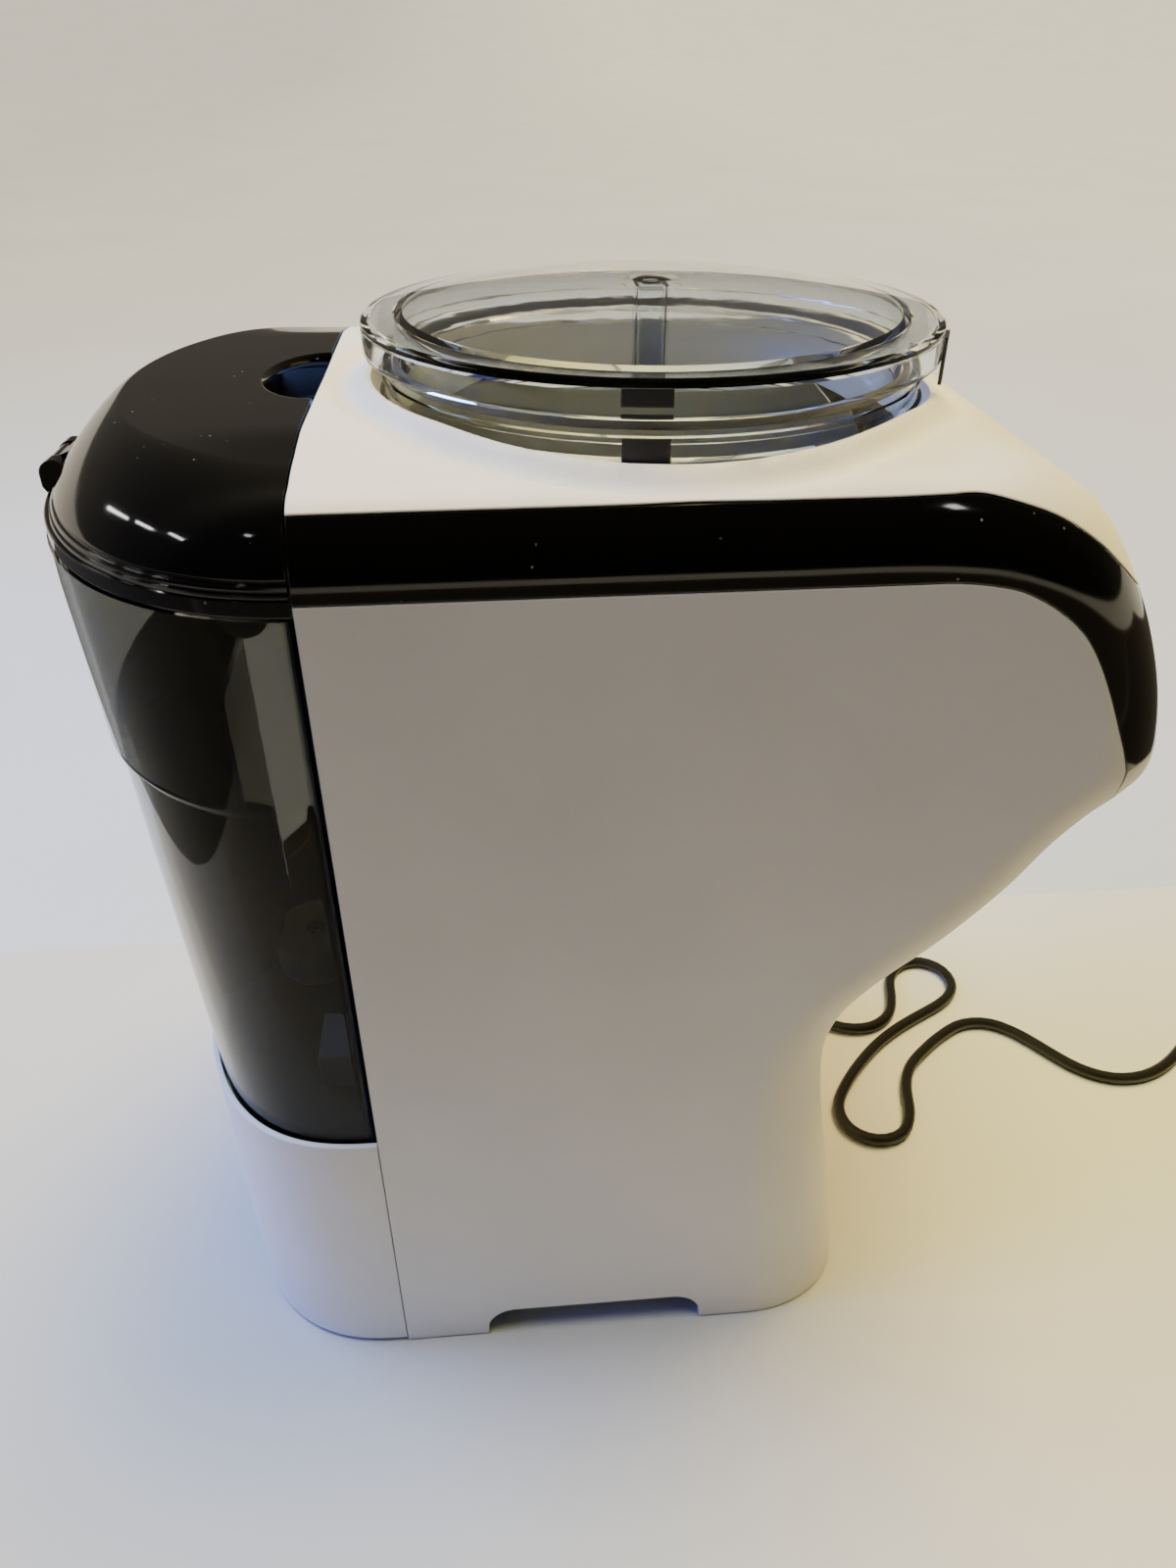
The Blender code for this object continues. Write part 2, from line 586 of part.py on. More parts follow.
def tank_lid():
    heights = (LID_BOTTOM_Z, 295, 300, 305, 309, 312.5, 314.4, 315)
    lid = loft("tank_lid", [lid_ring(z) for z in heights])
    inner = (280, 296, 303, 309, TOP_Z - LID_WALL)
    rings = [lid_ring(max(z, 288.0), LID_WALL) for z in inner]
    rings[0] = [(x, y, 280) for x, y, _ in rings[0]]
    combine(lid, loft("hollow", rings))
    pocket = arc((0, 0.45), (23.5, 15), 0, 180, 12)
    cup = arc((0, 0.45), (25.5, 17), 0, 180, 12)
    join(lid, prism("cup", cup, 301, 314, "z"))
    combine(lid, prism("pocket", [(23.5, -5), *pocket, (-23.5, -5)], 303, 330, "z"))
    knuckle = [(71.8, 291.2), (HINGE_Y - 2, 289.4)]
    knuckle += arc((HINGE_Y, HINGE_Z), (HINGE_R, HINGE_R), -80, 100, 10) + [(71.8, 297.4)]
    for side in (-1, 1):
        low, high = sorted((side * 6.2, side * 11.0))
        combine(lid, rod("ear_room", (0, HINGE_Y, HINGE_Z), [(4.3, low), (4.3, high)], axis="x"))
    join(lid, prism("knuckle", knuckle, -5.9, 5.9, "x"))
    pin_hole = rod("pin_hole", (0, HINGE_Y, HINGE_Z), [(1.6, -20), (1.6, 20)], steps=16, axis="x")
    combine(lid, pin_hole)
    set_origin(lid, (0, HINGE_Y, HINGE_Z))
    finish(lid, "black_gloss")


def hinge_pin():
    rod("lid_hinge_pin", (0, HINGE_Y, HINGE_Z), [(1.3, -11), (1.3, 11)], "steel", 12, "x")


def tank_valve():
    """The spring-loaded valve in the tank's floor, its filter, and the socket that it plugs into."""
    centre = (0, VALVE_Y, 0)
    stem = [(3.2, 88.3), (3.2, 101.5), (8.6, 101.5), (8.6, 103.2), (2.0, 103.2), (2.0, 111.0)]
    poppet = rod("tank_valve_poppet", centre, stem, "white_inner", 16)
    set_origin(poppet, (0, VALVE_Y, 101.5))
    helix("valve_spring", centre, 5.2, 0.5, 104.1, 111.6, 4, "steel")
    cup = [(16.2, 99.8), (16.2, 114), (4, 114), (4, 112.6), (14.8, 112.6), (14.8, 99.8)]
    turned("inlet_filter", cup, centre, "white_inner", 18)
    socket = [(12, 80), (12, 96.6), (9.2, 96.6), (9.2, 88), (2.5, 88), (2.5, 80)]
    turned("tank_socket", socket, centre, "white_inner", 18)
    seal = [(7.0, 91), (8.9, 91), (8.9, 94), (7.0, 94)]
    turned("socket_seal", seal, centre, "silicone", 18)


def helix(name, centre, radius, wire, low, high, turns, kind):
    """A coil spring, as a curve with a round section."""
    points = []
    for k in range(turns * 8 + 1):
        angle = 2 * math.pi * k / 8
        height = low + (high - low) * k / (turns * 8)
        points.append((centre[0] + radius * math.cos(angle), centre[1] + radius * math.sin(angle), height))
    return tube(name, points, wire, kind, 0)


def tube(name, points, radius, kind, resolution=2):
    """A round tube along points, with closed ends."""
    curve = bpy.data.curves.new(name, "CURVE")
    curve.dimensions = "3D"
    curve.bevel_depth = radius * MM
    curve.bevel_resolution = resolution
    curve.use_fill_caps = True
    line = curve.splines.new("POLY")
    line.points.add(len(points) - 1)
    for spot, point in zip(line.points, points):
        spot.co = (*(float(c) * MM for c in point), 1)
    thing = bpy.data.objects.new(name, curve)
    bpy.context.scene.collection.objects.link(thing)
    curve.materials.append(material(kind))
    return thing


def level_parts():
    float_body = box("float", (-66, 5.5, 100.2), (-46, 21, 114), "white_inner")
    set_origin(float_body, (-56, 13, 107))
    box("level_sensor", (-64, -9.5, 98), (-48, -3.2, 126), "black_plastic")


# ---------------------------------------------------------------- powder container and drive


def container():
    centre = (0, AXIS_Y, 0)
    profile = [
        (8, CONTAINER_FLOOR_Z), (72, CONTAINER_FLOOR_Z), (73.5, 250), (74.3, 305), (76.6, 307.5),
        (76.6, 311.5), (75, 313), (75, CONTAINER_TOP_Z), (72.6, CONTAINER_TOP_Z), (72.3, 309),
        (71, 252), (70, 246.5), (8, 246.5),
    ]
    tub = turned("powder_container", profile, centre, None, 32)
    outlet = rod("outlet", (0, AXIS_Y - 58, 0), [(9, 240), (9, 250)], steps=20)
    finish(combine(tub, outlet), "clear_plastic")
    set_origin(tub, centre)


def powder_lid():
    centre = (0, AXIS_Y, 0)
    dome = [(79.2, 321.9), (POWDER_LID_R, 322.7), (POWDER_LID_R, 329.4), (78.2, 331.0)]
    dome += [(r, 331.0 + 6.8 * (1 - (r / 78.2) ** 2)) for r in (60, 40, 20, 6)]
    under = [(77.6, 318), (77.6, 328.2)]
    under += [(r, 329.0 + 6.4 * (1 - (r / 77.6) ** 2)) for r in (60, 40, 20, 6)]
    lid = rod("powder_lid", centre, dome, steps=32)
    combine(lid, rod("under", centre, under, steps=32))
    skirt = [(68.2, 317.2), (70.0, 317.2), (70.0, 331.4), (68.2, 331.4)]
    join(lid, turned("skirt", skirt, centre, steps=28))
    join(lid, box("post", (-4.5, AXIS_Y - 4.5, 310), (4.5, AXIS_Y + 4.5, 336.4)))
    combine(lid, box("core", (-3.3, AXIS_Y - 3.3, 300), (3.3, AXIS_Y + 3.3, 334)))
    finish(lid, "clear_plastic")
    set_origin(lid, centre)
    seal = [(70.6, 317.8), (71.8, 317.8), (71.8, 320.6), (70.6, 320.6)]
    set_origin(turned("lid_seal", seal, centre, "silicone", 28), centre)


def gear_outline(teeth):
    """A spur gear's outline: straight-sided teeth, a little slim so that a pair runs free."""
    pitch = GEAR_MODULE * teeth / 2
    points = []
    for k in range(teeth):
        for share, r in ((-0.29, -1.2), (-0.145, 0.9), (0.145, 0.9), (0.29, -1.2)):
            angle = 2 * math.pi * (k + share) / teeth
            r_at = pitch + r * GEAR_MODULE
            points.append((r_at * math.cos(angle), r_at * math.sin(angle)))
    return points


def drive():
    """The gear, on a shaft that turns the dosing disc, the pinion that drives it, and their motor."""
    centre = (0, AXIS_Y, 0)
    gear = prism("drive_gear", gear_outline(GEAR_TEETH), GEAR_Z, GEAR_Z + GEAR_THICK, "z")
    shaft = rod("shaft", (0, 0, 0), [(3.9, GEAR_Z - 2), (3.9, 257)], steps=16)
    finish(join(gear, shaft), "white_inner")
    gear.location = Vector(centre) * MM
    reach = GEAR_MODULE * (GEAR_TEETH + PINION_TEETH) / 2
    half_tooth = math.pi / PINION_TEETH
    pinion = prism("motor_pinion", gear_outline(PINION_TEETH), GEAR_Z, GEAR_Z + GEAR_THICK, "z")
    pinion_shaft = rod("shaft", (0, 0, 0), [(1.6, 212), (1.6, GEAR_Z + 1)], steps=12)
    finish(join(pinion, pinion_shaft), "brass")
    pinion.rotation_euler = (0, 0, math.pi + half_tooth)
    pinion.location = Vector((reach, AXIS_Y, 0)) * MM
    motor = rod("powder_motor", (reach, AXIS_Y, 0), [(12, 188), (12.5, 189), (12.5, 220.9)], steps=28)
    bore = rod("bore", (reach, AXIS_Y, 0), [(2.1, 211), (2.1, 230)], steps=16)
    finish(combine(motor, bore), "steel")
    bracket = box("motor_bracket", (18, AXIS_Y - 20, 221.2), (56, AXIS_Y + 20, 223.4))
    for y in (-18.5, 18.5):
        join(bracket, box("post", (50, AXIS_Y + y - 1.5, 222), (56, AXIS_Y + y + 1.5, DECK_Z - GAP)))
    bore = rod("bore", (reach, AXIS_Y, 0), [(3, 210), (3, 230)], steps=16)
    finish(combine(bracket, bore), "steel")
    bush = [(4.2, 237), (8.6, 237), (8.6, DECK_Z - GAP), (7, DECK_Z - GAP), (7, 243.5), (4.2, 243.5)]
    turned("drive_bearing", bush, centre, "brass", 18)
    disc = turned("dosing_disc", [(4.8, 247), (69, 247), (69, 252.2), (4.8, 252.2)], (0, 0, 0), None, 24)
    for k in range(6):
        angle = 0.43 + k * math.pi / 3
        spot = (58 * math.cos(angle), 58 * math.sin(angle), 0)
        combine(disc, rod("pocket", spot, [(8, 240), (8, 260)], steps=10))
    disc.location = Vector(centre) * MM
    finish(disc, "white_inner")
    wheel = rod("mixing_wheel", (0, 0, 0), [(9, 252.5), (9, 262), (7.5, 264)], steps=24)
    for k in range(4):
        arm = box("arm", (6, -2.2, 252.5), (66, 2.2, 256.5))
        arm.rotation_euler = (0, 0, k * math.pi / 2 + 0.3)
        join(wheel, arm)
    combine(wheel, rod("bore", (0, 0, 0), [(4.3, 240), (4.3, 258)], steps=16))
    wheel.location = Vector(centre) * MM
    finish(wheel, "white_inner")


def deck_and_chute():
    half = HALF_WIDTH - WALL - 0.5
    deck = box("upper_deck", (-half, -166, DECK_Z), (half, -3.3, DECK_TOP_Z))
    combine(deck, rod("bore", (0, AXIS_Y, 0), [(7.3, 230), (7.3, 250)], steps=24))
    combine(deck, rod("outlet", (0, AXIS_Y - 58, 0), [(9.5, 230), (9.5, 250)], steps=20))
    finish(deck, "white_inner")
    chute = loft("powder_chute", chute_rings(1.6))
    inner = chute_rings(0.0)
    lean = (ends_lean(inner[0], inner[1]), ends_lean(inner[1], inner[0]))
    combine(chute, loft("inner", [lean[0], *inner, lean[1]]))
    finish(chute, "clear_plastic")


def chute_rings(extra):
    """The slanting chute's two ends, its bore made wider by extra."""
    rings = []
    for z, y, r in ((DECK_Z - GAP, AXIS_Y - 58, 9.2), (222.0, -182, 8.2)):
        rings.append([(a, b, z) for a, b in arc((0, y), (r + extra, r + extra), 0, 337.5, 15)])
    return rings


def ends_lean(ring, other):
    """The ring carried a little past the other one's far side, to cut right through."""
    return [tuple(a + 0.2 * (a - b) for a, b in zip(p, q)) for p, q in zip(ring, other)]


def funnel_and_drawer():
    low = (-DRAWER_HALF_WIDTH, -240, DRAWER_BOTTOM_Z)
    high = (DRAWER_HALF_WIDTH, DRAWER_BACK_Y, DRAWER_TOP_Z)
    drawer = combine(body_solid("funnel_drawer", 0.0, 0.0), box("area", low, high), "INTERSECT")
    centre = (0, FUNNEL_Y, 0)
    combine(drawer, rod("cone", centre, [(9.4, 190), (9.4, 199), (25.6, 218.6), (27.4, 218.7), (27.4, 230)]))
    set_origin(drawer, centre)
    finish(drawer, "white_shell")
    profile = [
        (27, 219), (27, 220.6), (22.4, 220.6), (6.2, 199.5), (4.6, 176), (6.2, 176), (8.0, 198.5), (24, 219),
    ]
    set_origin(turned("funnel", profile, centre, "clear_plastic", 24), centre)
    spout = [(1.6, 222.4), (3.4, 222.4), (3.4, 236), (1.6, 236)]
    turned("water_spout", spout, (0, -203, 0), "steel", 16)


# ---------------------------------------------------------------- water path and electrics

PUMP = (-45, -45, 0)
HEATER_LOW = (18, -76, 30)
HEATER_HIGH = (78, -48, 120)


def water_path():
    rod("pump_body", PUMP, [(17, 18.6), (17, 42)], "black_plastic", 28)
    rod("pump_motor", PUMP, [(14, 42.3), (14, 82), (12.5, 84)], "steel", 28)
    box("heater_block", HEATER_LOW, HEATER_HIGH, "steel")
    rod("thermostat", (32, -62, 0), [(8, 120.3), (8, 126)], "black_plastic", 20)
    routes = {
        "inlet_hose": [(0, 29, 79.6), (0, 28, 70), (-4, 21, 58), (-12, 9, 49), (-21, -2, 43),
                       (-32, -12, 37), (-42, -19, 33), (-45, -27.4, 32)],
        "pump_hose": [(-27.4, -45, 32), (-17, -46, 33), (-5, -51, 38), (5, -61, 44), (15.6, -62, 45)],
        "outlet_hose": [(60, -62, 120.6), (61, -62, 150), (66, -76, 185), (68, -110, 206),
                        (64, -142, 221), (50, -170, 231), (31, -188, 240), (12, -200, 244),
                        (3, -203, 243), (0, -203, 241), (0, -203, 236.6)],
    }
    for name, route in routes.items():
        tube(name, smooth(route, 2), 3.6, "silicone", 1)


def power_board():
    board = box("power_board", (-70, -18, 120), (70, -16.4, 200))
    join(board, box("transformer", (-50, -42, 140), (-18, -17, 170)))
    join(board, rod("capacitor", (20, 0, 150), [(9, -46), (9, -17)], steps=16, axis="y"))
    join(board, box("relay", (42, -34, 150), (60, -17, 172)))
    finish(board, "circuit_board")


def base_screws():
    """The screws that come up through the base plate."""
    plate = bpy.data.objects["base_plate"]
    for i, (x, y) in enumerate(SCREWS, 1):
        stations = [(3.6, 13.6), (3.6, BASE_Z - GAP), (1.8, BASE_Z - GAP), (1.8, 26)]
        rod(f"base_screw_{i}", (x, y, 0), stations, "steel", 14)
        combine(plate, rod("hole", (x, y, 0), [(2.2, 10), (2.2, 30)], steps=14))
    finish(plate, "white_inner")


# ---------------------------------------------------------------- mains lead


def mains_lead():
    gland = [(4.3, 60), (4.3, 72), (6.2, 72), (6.2, 74.4), (5.3, 74.4), (3.0, 97.2)]
    rod("cord_gland", (0, GLAND_Y, GLAND_Z), gland, "rubber", 20, "x")
    tube("cord_lead", smooth(LEAD_ROUTE, 1), CORD_D / 2, "cord_jacket", 1)
    tube("cord_tail", TAIL_ROUTE, CORD_D / 2, "cord_jacket")
    inner, outer = COIL_MID_R - COIL_HALF_WIDTH, COIL_MID_R + COIL_HALF_WIDTH
    ring = [(inner, 2.4), (inner + 1.5, 0.9), (outer - 1.5, 0.9), (outer, 2.4)]
    ring += [(outer, COIL_TOP_Z - 1.5), (outer - 1.5, COIL_TOP_Z)]
    ring += [(inner + 1.5, COIL_TOP_Z), (inner, COIL_TOP_Z - 1.5)]
    turned("cord_coil", ring, (*COIL_CENTRE, 0), "cord_jacket", 24)
    x = COIL_CENTRE[0] - COIL_MID_R
    y = COIL_CENTRE[1]
    half = COIL_HALF_WIDTH
    strap = box("coil_tie", (x - half - 1, y - 2, 0.1), (x + half + 1, y + 2, 10.9))
    combine(strap, box("inside", (x - half - 0.35, -500, 0.6), (x + half + 0.35, 0, 10.4)))
    finish(strap, "black_plastic")
    stations = [(2.9, -21.9), (4.6, -34), (6.4, -38), (6.8, -44)]
    plug = rod("plug", (0, PLUG_AXIS_Y, PLUG_Z), stations, steps=20, axis="x")
    corners = [(-10, -7), (-8, -7.2), (8, -7.2), (10, -5), (10, 5), (8, 7), (-8, 7), (-10, 5)]
    body = [(PLUG_AXIS_Y + y, PLUG_Z + z) for y, z in corners]
    join(plug, prism("body", body, -62, -38, "x"))
    for y in (-6.35, 6.35):
        centre = PLUG_AXIS_Y + y
        join(plug, box("blade", (-79, centre - 0.75, PLUG_Z - 3.1), (-61, centre + 0.75, PLUG_Z + 3.1)))
    finish(plug, "black_plastic")


def main():
    for old in list(bpy.data.objects):
        bpy.data.objects.remove(old)
    shell = outer_shell()
    side_panels(shell)
    top_cover(shell)
    fascia_band(shell)
    lower_front_cover(shell)
    bpy.data.objects.remove(shell)
    buttons_and_display()
    rear_wall()
    tank_cradle()
    base_plate()
    rubber_feet()
    base_screws()
    water_tank()
    tank_collar()
    tank_lid()
    hinge_pin()
    tank_valve()
    level_parts()
    container()
    powder_lid()
    drive()
    deck_and_chute()
    funnel_and_drawer()
    water_path()
    power_board()
    mains_lead()
    wall = bpy.data.objects["rear_wall"]
    combine(wall, rod("hose_hole", (-20.4, 0, 43.4), [(7.5, -20), (7.5, 20)], steps=20, axis="y"))
    finish(wall, "white_inner")
    for thing in bpy.data.objects:
        thing.location.y += CENTRE_SHIFT * MM


main()
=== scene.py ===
"""Looks of the countertop dispenser: smooth shells, clear and smoked plastics, mains lead and studio.

Shapes are in millimetres in the body's own frame: y = 0 is the seam between body and tank, -y the nose.
place() moves them into the row frame, in metres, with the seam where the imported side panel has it.
"""

import json
import math

import bmesh
import bpy
import numpy as np
from mathutils import Matrix, Quaternion, Vector


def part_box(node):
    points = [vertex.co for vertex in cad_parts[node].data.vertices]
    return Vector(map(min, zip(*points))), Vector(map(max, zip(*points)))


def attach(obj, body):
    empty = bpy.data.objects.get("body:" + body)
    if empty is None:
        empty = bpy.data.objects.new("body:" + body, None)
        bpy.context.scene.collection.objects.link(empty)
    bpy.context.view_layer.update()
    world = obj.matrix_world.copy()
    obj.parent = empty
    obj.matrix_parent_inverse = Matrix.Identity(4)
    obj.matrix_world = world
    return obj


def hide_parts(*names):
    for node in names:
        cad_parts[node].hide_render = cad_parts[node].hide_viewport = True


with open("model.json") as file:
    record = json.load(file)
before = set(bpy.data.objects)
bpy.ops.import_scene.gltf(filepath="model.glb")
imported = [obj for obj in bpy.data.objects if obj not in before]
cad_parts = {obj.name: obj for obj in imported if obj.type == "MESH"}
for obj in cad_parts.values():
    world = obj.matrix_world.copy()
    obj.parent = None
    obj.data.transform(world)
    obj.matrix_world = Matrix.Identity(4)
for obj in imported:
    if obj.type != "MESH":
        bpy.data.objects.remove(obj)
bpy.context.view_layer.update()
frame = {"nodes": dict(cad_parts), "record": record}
nodes = frame["nodes"]
scene = bpy.context.scene

MM = 0.001
GAP = 0.3  # between two pieces that touch
WALL = 2.5  # of the outer shells
SEAM_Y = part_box("left_side_panel")[1].y / MM + GAP / 2

HALF_WIDTH = 98.75
TOP_Z = 315.0
SHELL_BOTTOM_Z = 0.8  # the shells end just above the table
SHOULDER = 27.0  # how far the rounded edge comes in from each side
PANEL_EDGE_X = 76.0  # where the side panels meet the lower front cover
BAND_BOTTOM_Z = 289.0
BAND_TOP_Z = 307.0
TIP_Y = -207.4  # the side panel's front tip
NOSE_Y = -240.0  # in front of everything on the body
RELIEF_Z = 295.0  # only above this height is the top shaped by the three that follow
CROWN_DROP = 2.9  # how far the top falls beside the well
LIP = (1.2, 80.0, 2.0)  # height, radius and width of the raised lip round the well
GROOVE = (-1.9, 86.4, 3.3)  # and of the groove outside it

REAR_POWER = 2.63  # of the superellipse that the foot of the rear follows
TANK_FRONT_Y = 0.6
TANK_BOTTOM_Z = 97.0
TANK_TOP_Z = 285.0
TANK_STEP_Z = 230.5  # above this the rear of the tank stands out a little further
TANK_LEVELS = (120, 150, 190, TANK_STEP_Z - 1, TANK_STEP_Z, TANK_STEP_Z + 1, 250, 270)
TANK_WALL = 2.2
RECESS_TOP_Z = 232.0  # of the hand recess in the tank's rear
RECESS_BOTTOM_Z = 119.0
CRADLE_TOP_Z = 107.0
CRADLE_DEPTH = 63.5
CRADLE_FLOOR_Z = 94.0
LID_BOTTOM_Z = 290.6
LID_SPRING_Z = 288.0  # where the curve of the lid's shoulder starts
LID_RISE = 27.0  # from there to the top
LID_FRONT_Y = 0.45
LID_DEPTH = 77.0
LID_WALL = 2.2
LID_SHARE = 0.727  # of its width that the lid keeps at the top
HINGE_Y = 76.2
HINGE_Z = 292.4
HINGE = (0, HINGE_Y, HINGE_Z)
HINGE_R = 3.6
EAR_R = 3.9  # of the collar's two hinge ears
PIN_HOLE_R = 1.6
VALVE_Y = 29.0

AXIS_Y = -91.6  # the container's vertical axis
AXIS = (0, AXIS_Y, 0)
WELL_R = 78.5
POWDER_LID_R = 80.0
LID_DOME = 6.6  # how far the powder lid rises towards its middle
CONTAINER_FLOOR_Z = 244.0
CONTAINER_TOP_Z = 321.0
MARK_ANGLES = (168.0, 176.4)  # of the alignment marks, in degrees about the axis

DRAWER_HALF_WIDTH = 36.0
DRAWER_BOTTOM_Z = 197.0
DRAWER_TOP_Z = 221.0
DRAWER_BACK_Y = -160.0
FUNNEL_Y = -189.0

FACE_Y = -219.0  # the middle of the nose's front face
FACE_Z = 254.5
FACE_TILT = math.radians(14.5)
BUTTON_R = 6.5
BUTTON_X = {"minus": -52.0, "plus": -34.0, "temperature": 34.0, "start": 52.0}

NOTCH_FRONT_Y = -106.0  # the notch in each side panel's foot
NOTCH_BACK_Y = -29.4
NOTCH_Z = 14.0
NOTCH_R = 10.0

CORD_D = 5.0
GLAND_Y = -90.0
GLAND_Z = 8.5
COIL_CENTRE = (-2.0, -391.0)

# The body's outline from the side: a point of the outermost outline, and the point of the flat side
# face that the rounded edge leads to.
OUTLINE = [
    (0, 315, 0, 288), (-40, 315, -40, 288), (-80, 315, -79, 288), (-115, 315, -112, 288),
    (-142, 315, -137, 288), (-156, 313.8, -150, 287.6), (-168, 311.4, -160, 286.4),
    (-181, 306.6, -170, 283.0), (-190, 301.6, -177, 278.6), (-197, 295.2, -182, 273.8),
    (-205, 283.6, -188, 266.0), (-212.8, 269.5, -193, 256.6), (-219.3, 254.0, -197, 248.2),
    (-223.0, 241.0, -199, 242.0), (-224.4, 232.2, -199.8, 237.5), (-223.4, 225.2, -199.2, 234.0),
    (-219.0, 219.2, -196.6, 230.5), (-210.0, 211.4, -190, 223.5), (-202, 201.6, -182, 214.6),
    (-192.6, 187.0, -171.5, 199.5), (-176.2, 167.4, -156, 182.5), (-160.5, 153.0, -142, 169.0),
    (-151.5, 141.5, -128, 154.0), (-147.2, 131.0, -120.5, 138.0), (-145.6, 119, -117.5, 120),
    (-146.2, 105, -117, 104), (-148.8, 85, -117.5, 84), (-152.4, 63, -119, 63),
    (-156.6, 38, -121.5, 38), (-160, 15, -123, 15), (-161.4, 0.8, -124, 0.8),
]
# The two edges of the gloss band, as (y, z).
BAND_LOWER = [
    (30, 289), (-76, 289), (-140, 289), (-152, 288.9), (-160, 287.9), (-167, 286.3), (-174, 283),
    (-181, 278.2), (-186.5, 272.8), (-191.5, 265.6), (-196.5, 256.4), (-201, 247), (-204.6, 239.4),
    (-207, 233.4), (-240, 239.4),
]
BAND_UPPER = [
    (30, 307), (-76, 307), (-148, 307), (-157, 306.8), (-166, 304.6), (-177, 300.6), (-187, 294.6),
    (-195, 288.0), (-203, 281.0), (-213, 273.4), (-240, 256),
]
# The lead's centreline from the gland to the coil.
LEAD_ROUTE = [
    (97.6, -90, 8.5), (105, -90, 8.2), (113, -91.5, 6.4), (121, -96.5, 4.0), (127, -105, 2.7),
    (129, -117, 2.6), (127.5, -131, 2.6), (122, -145.5, 2.6), (113, -158, 2.6), (100.5, -168, 2.6),
    (86, -173, 2.6), (70.5, -175.5, 2.6), (56, -179, 2.6), (44, -186.5, 2.6), (36.5, -198, 2.6),
    (36, -211, 2.6), (43, -221.5, 2.6), (54.5, -226.5, 2.6), (67, -229.5, 2.6), (76.5, -237.5, 2.6),
    (78, -249, 2.6), (70.5, -258, 2.6), (58.5, -258.5, 2.6), (49.5, -250.5, 2.6), (42.5, -238, 2.6),
    (35, -224.5, 2.6), (25.5, -211, 2.6), (14, -199, 2.6), (2, -189, 2.6), (-10, -182.5, 2.6),
    (-22, -184.5, 2.6), (-28.5, -194.5, 2.6), (-26, -206.5, 2.6), (-15, -213, 2.6), (-2, -215.5, 2.6),
    (10, -221, 2.6), (20, -231.5, 2.6), (28.5, -243, 2.6), (34.5, -255, 2.6), (33.5, -268, 2.6),
    (25, -279, 2.6), (13.5, -288, 2.6), (2.5, -297.5, 2.6), (-4, -310, 2.6), (-4, -324.5, 2.6),
    (2, -338.5, 2.6), (12, -351.5, 2.6), (24.4, -366.6, 2.6),
]
# Round the coil: (degrees turned, radius, height) of the lead's centreline.
COIL_KEYS = [
    (30, 33.5, 2.6), (60, 30.3, 2.6), (120, 30.1, 2.6), (240, 30.1, 2.6), (330, 30.0, 2.6),
    (375, 27.5, 2.6), (420, 24.9, 2.6), (540, 24.9, 2.6), (670, 24.9, 2.6), (700, 26.0, 5.2),
    (725, 30.0, 7.4), (755, 29.0, 7.4), (790, 27.5, 7.3), (830, 29.5, 7.5), (850, 33.0, 6.8),
]
TAIL_ROUTE = [(-9.5, -426.2, 6.0), (-15.5, -426.9, 7.0), (-21.6, -427.0, 7.6)]


# ---------------- meshes


def place(point):
    """From the body's millimetres to the row frame's metres."""
    return Vector((point[0], point[1] + SEAM_Y, point[2])) * MM


PLACE = Matrix.Scale(MM, 4) @ Matrix.Translation((0, SEAM_Y, 0))


def to_object(name, bm):
    """Turns a closed bmesh, in the body's millimetres, into an object with its faces pointing out."""
    bmesh.ops.recalc_face_normals(bm, faces=bm.faces)
    if bm.calc_volume(signed=True) < 0:
        bmesh.ops.reverse_faces(bm, faces=bm.faces)
    bmesh.ops.transform(bm, matrix=PLACE, verts=bm.verts)
    mesh = bpy.data.meshes.new(name)
    bm.to_mesh(mesh)
    bm.free()
    thing = bpy.data.objects.new(name, mesh)
    scene.collection.objects.link(thing)
    return thing


def loft(name, rings):
    """A closed body through rings of the same number of points, with flat ends."""
    bm = bmesh.new()
    rows = [[bm.verts.new(point) for point in ring] for ring in rings]
    count = len(rows[0])
    for low, high in zip(rows, rows[1:]):
        for i in range(count):
            j = (i + 1) % count
            bm.faces.new((low[i], low[j], high[j], high[i]))
    bm.faces.new(rows[0])
    bm.faces.new(rows[-1])
    return to_object(name, bm)


def prism(name, outline, low, high, axis="x"):
    """A flat outline carried along an axis: (y, z) along x, (x, z) along y, (x, y) along z."""
    put = {
        "x": lambda a, b, c: (c, a, b),
        "y": lambda a, b, c: (a, c, b),
        "z": lambda a, b, c: (a, b, c),
    }[axis]
    return loft(name, [[put(a, b, c) for a, b in outline] for c in (low, high)])


def box(name, low, high):
    """A block between two corners."""
    outline = [(low[0], low[1]), (high[0], low[1]), (high[0], high[1]), (low[0], high[1])]
    return prism(name, outline, low[2], high[2], "z")


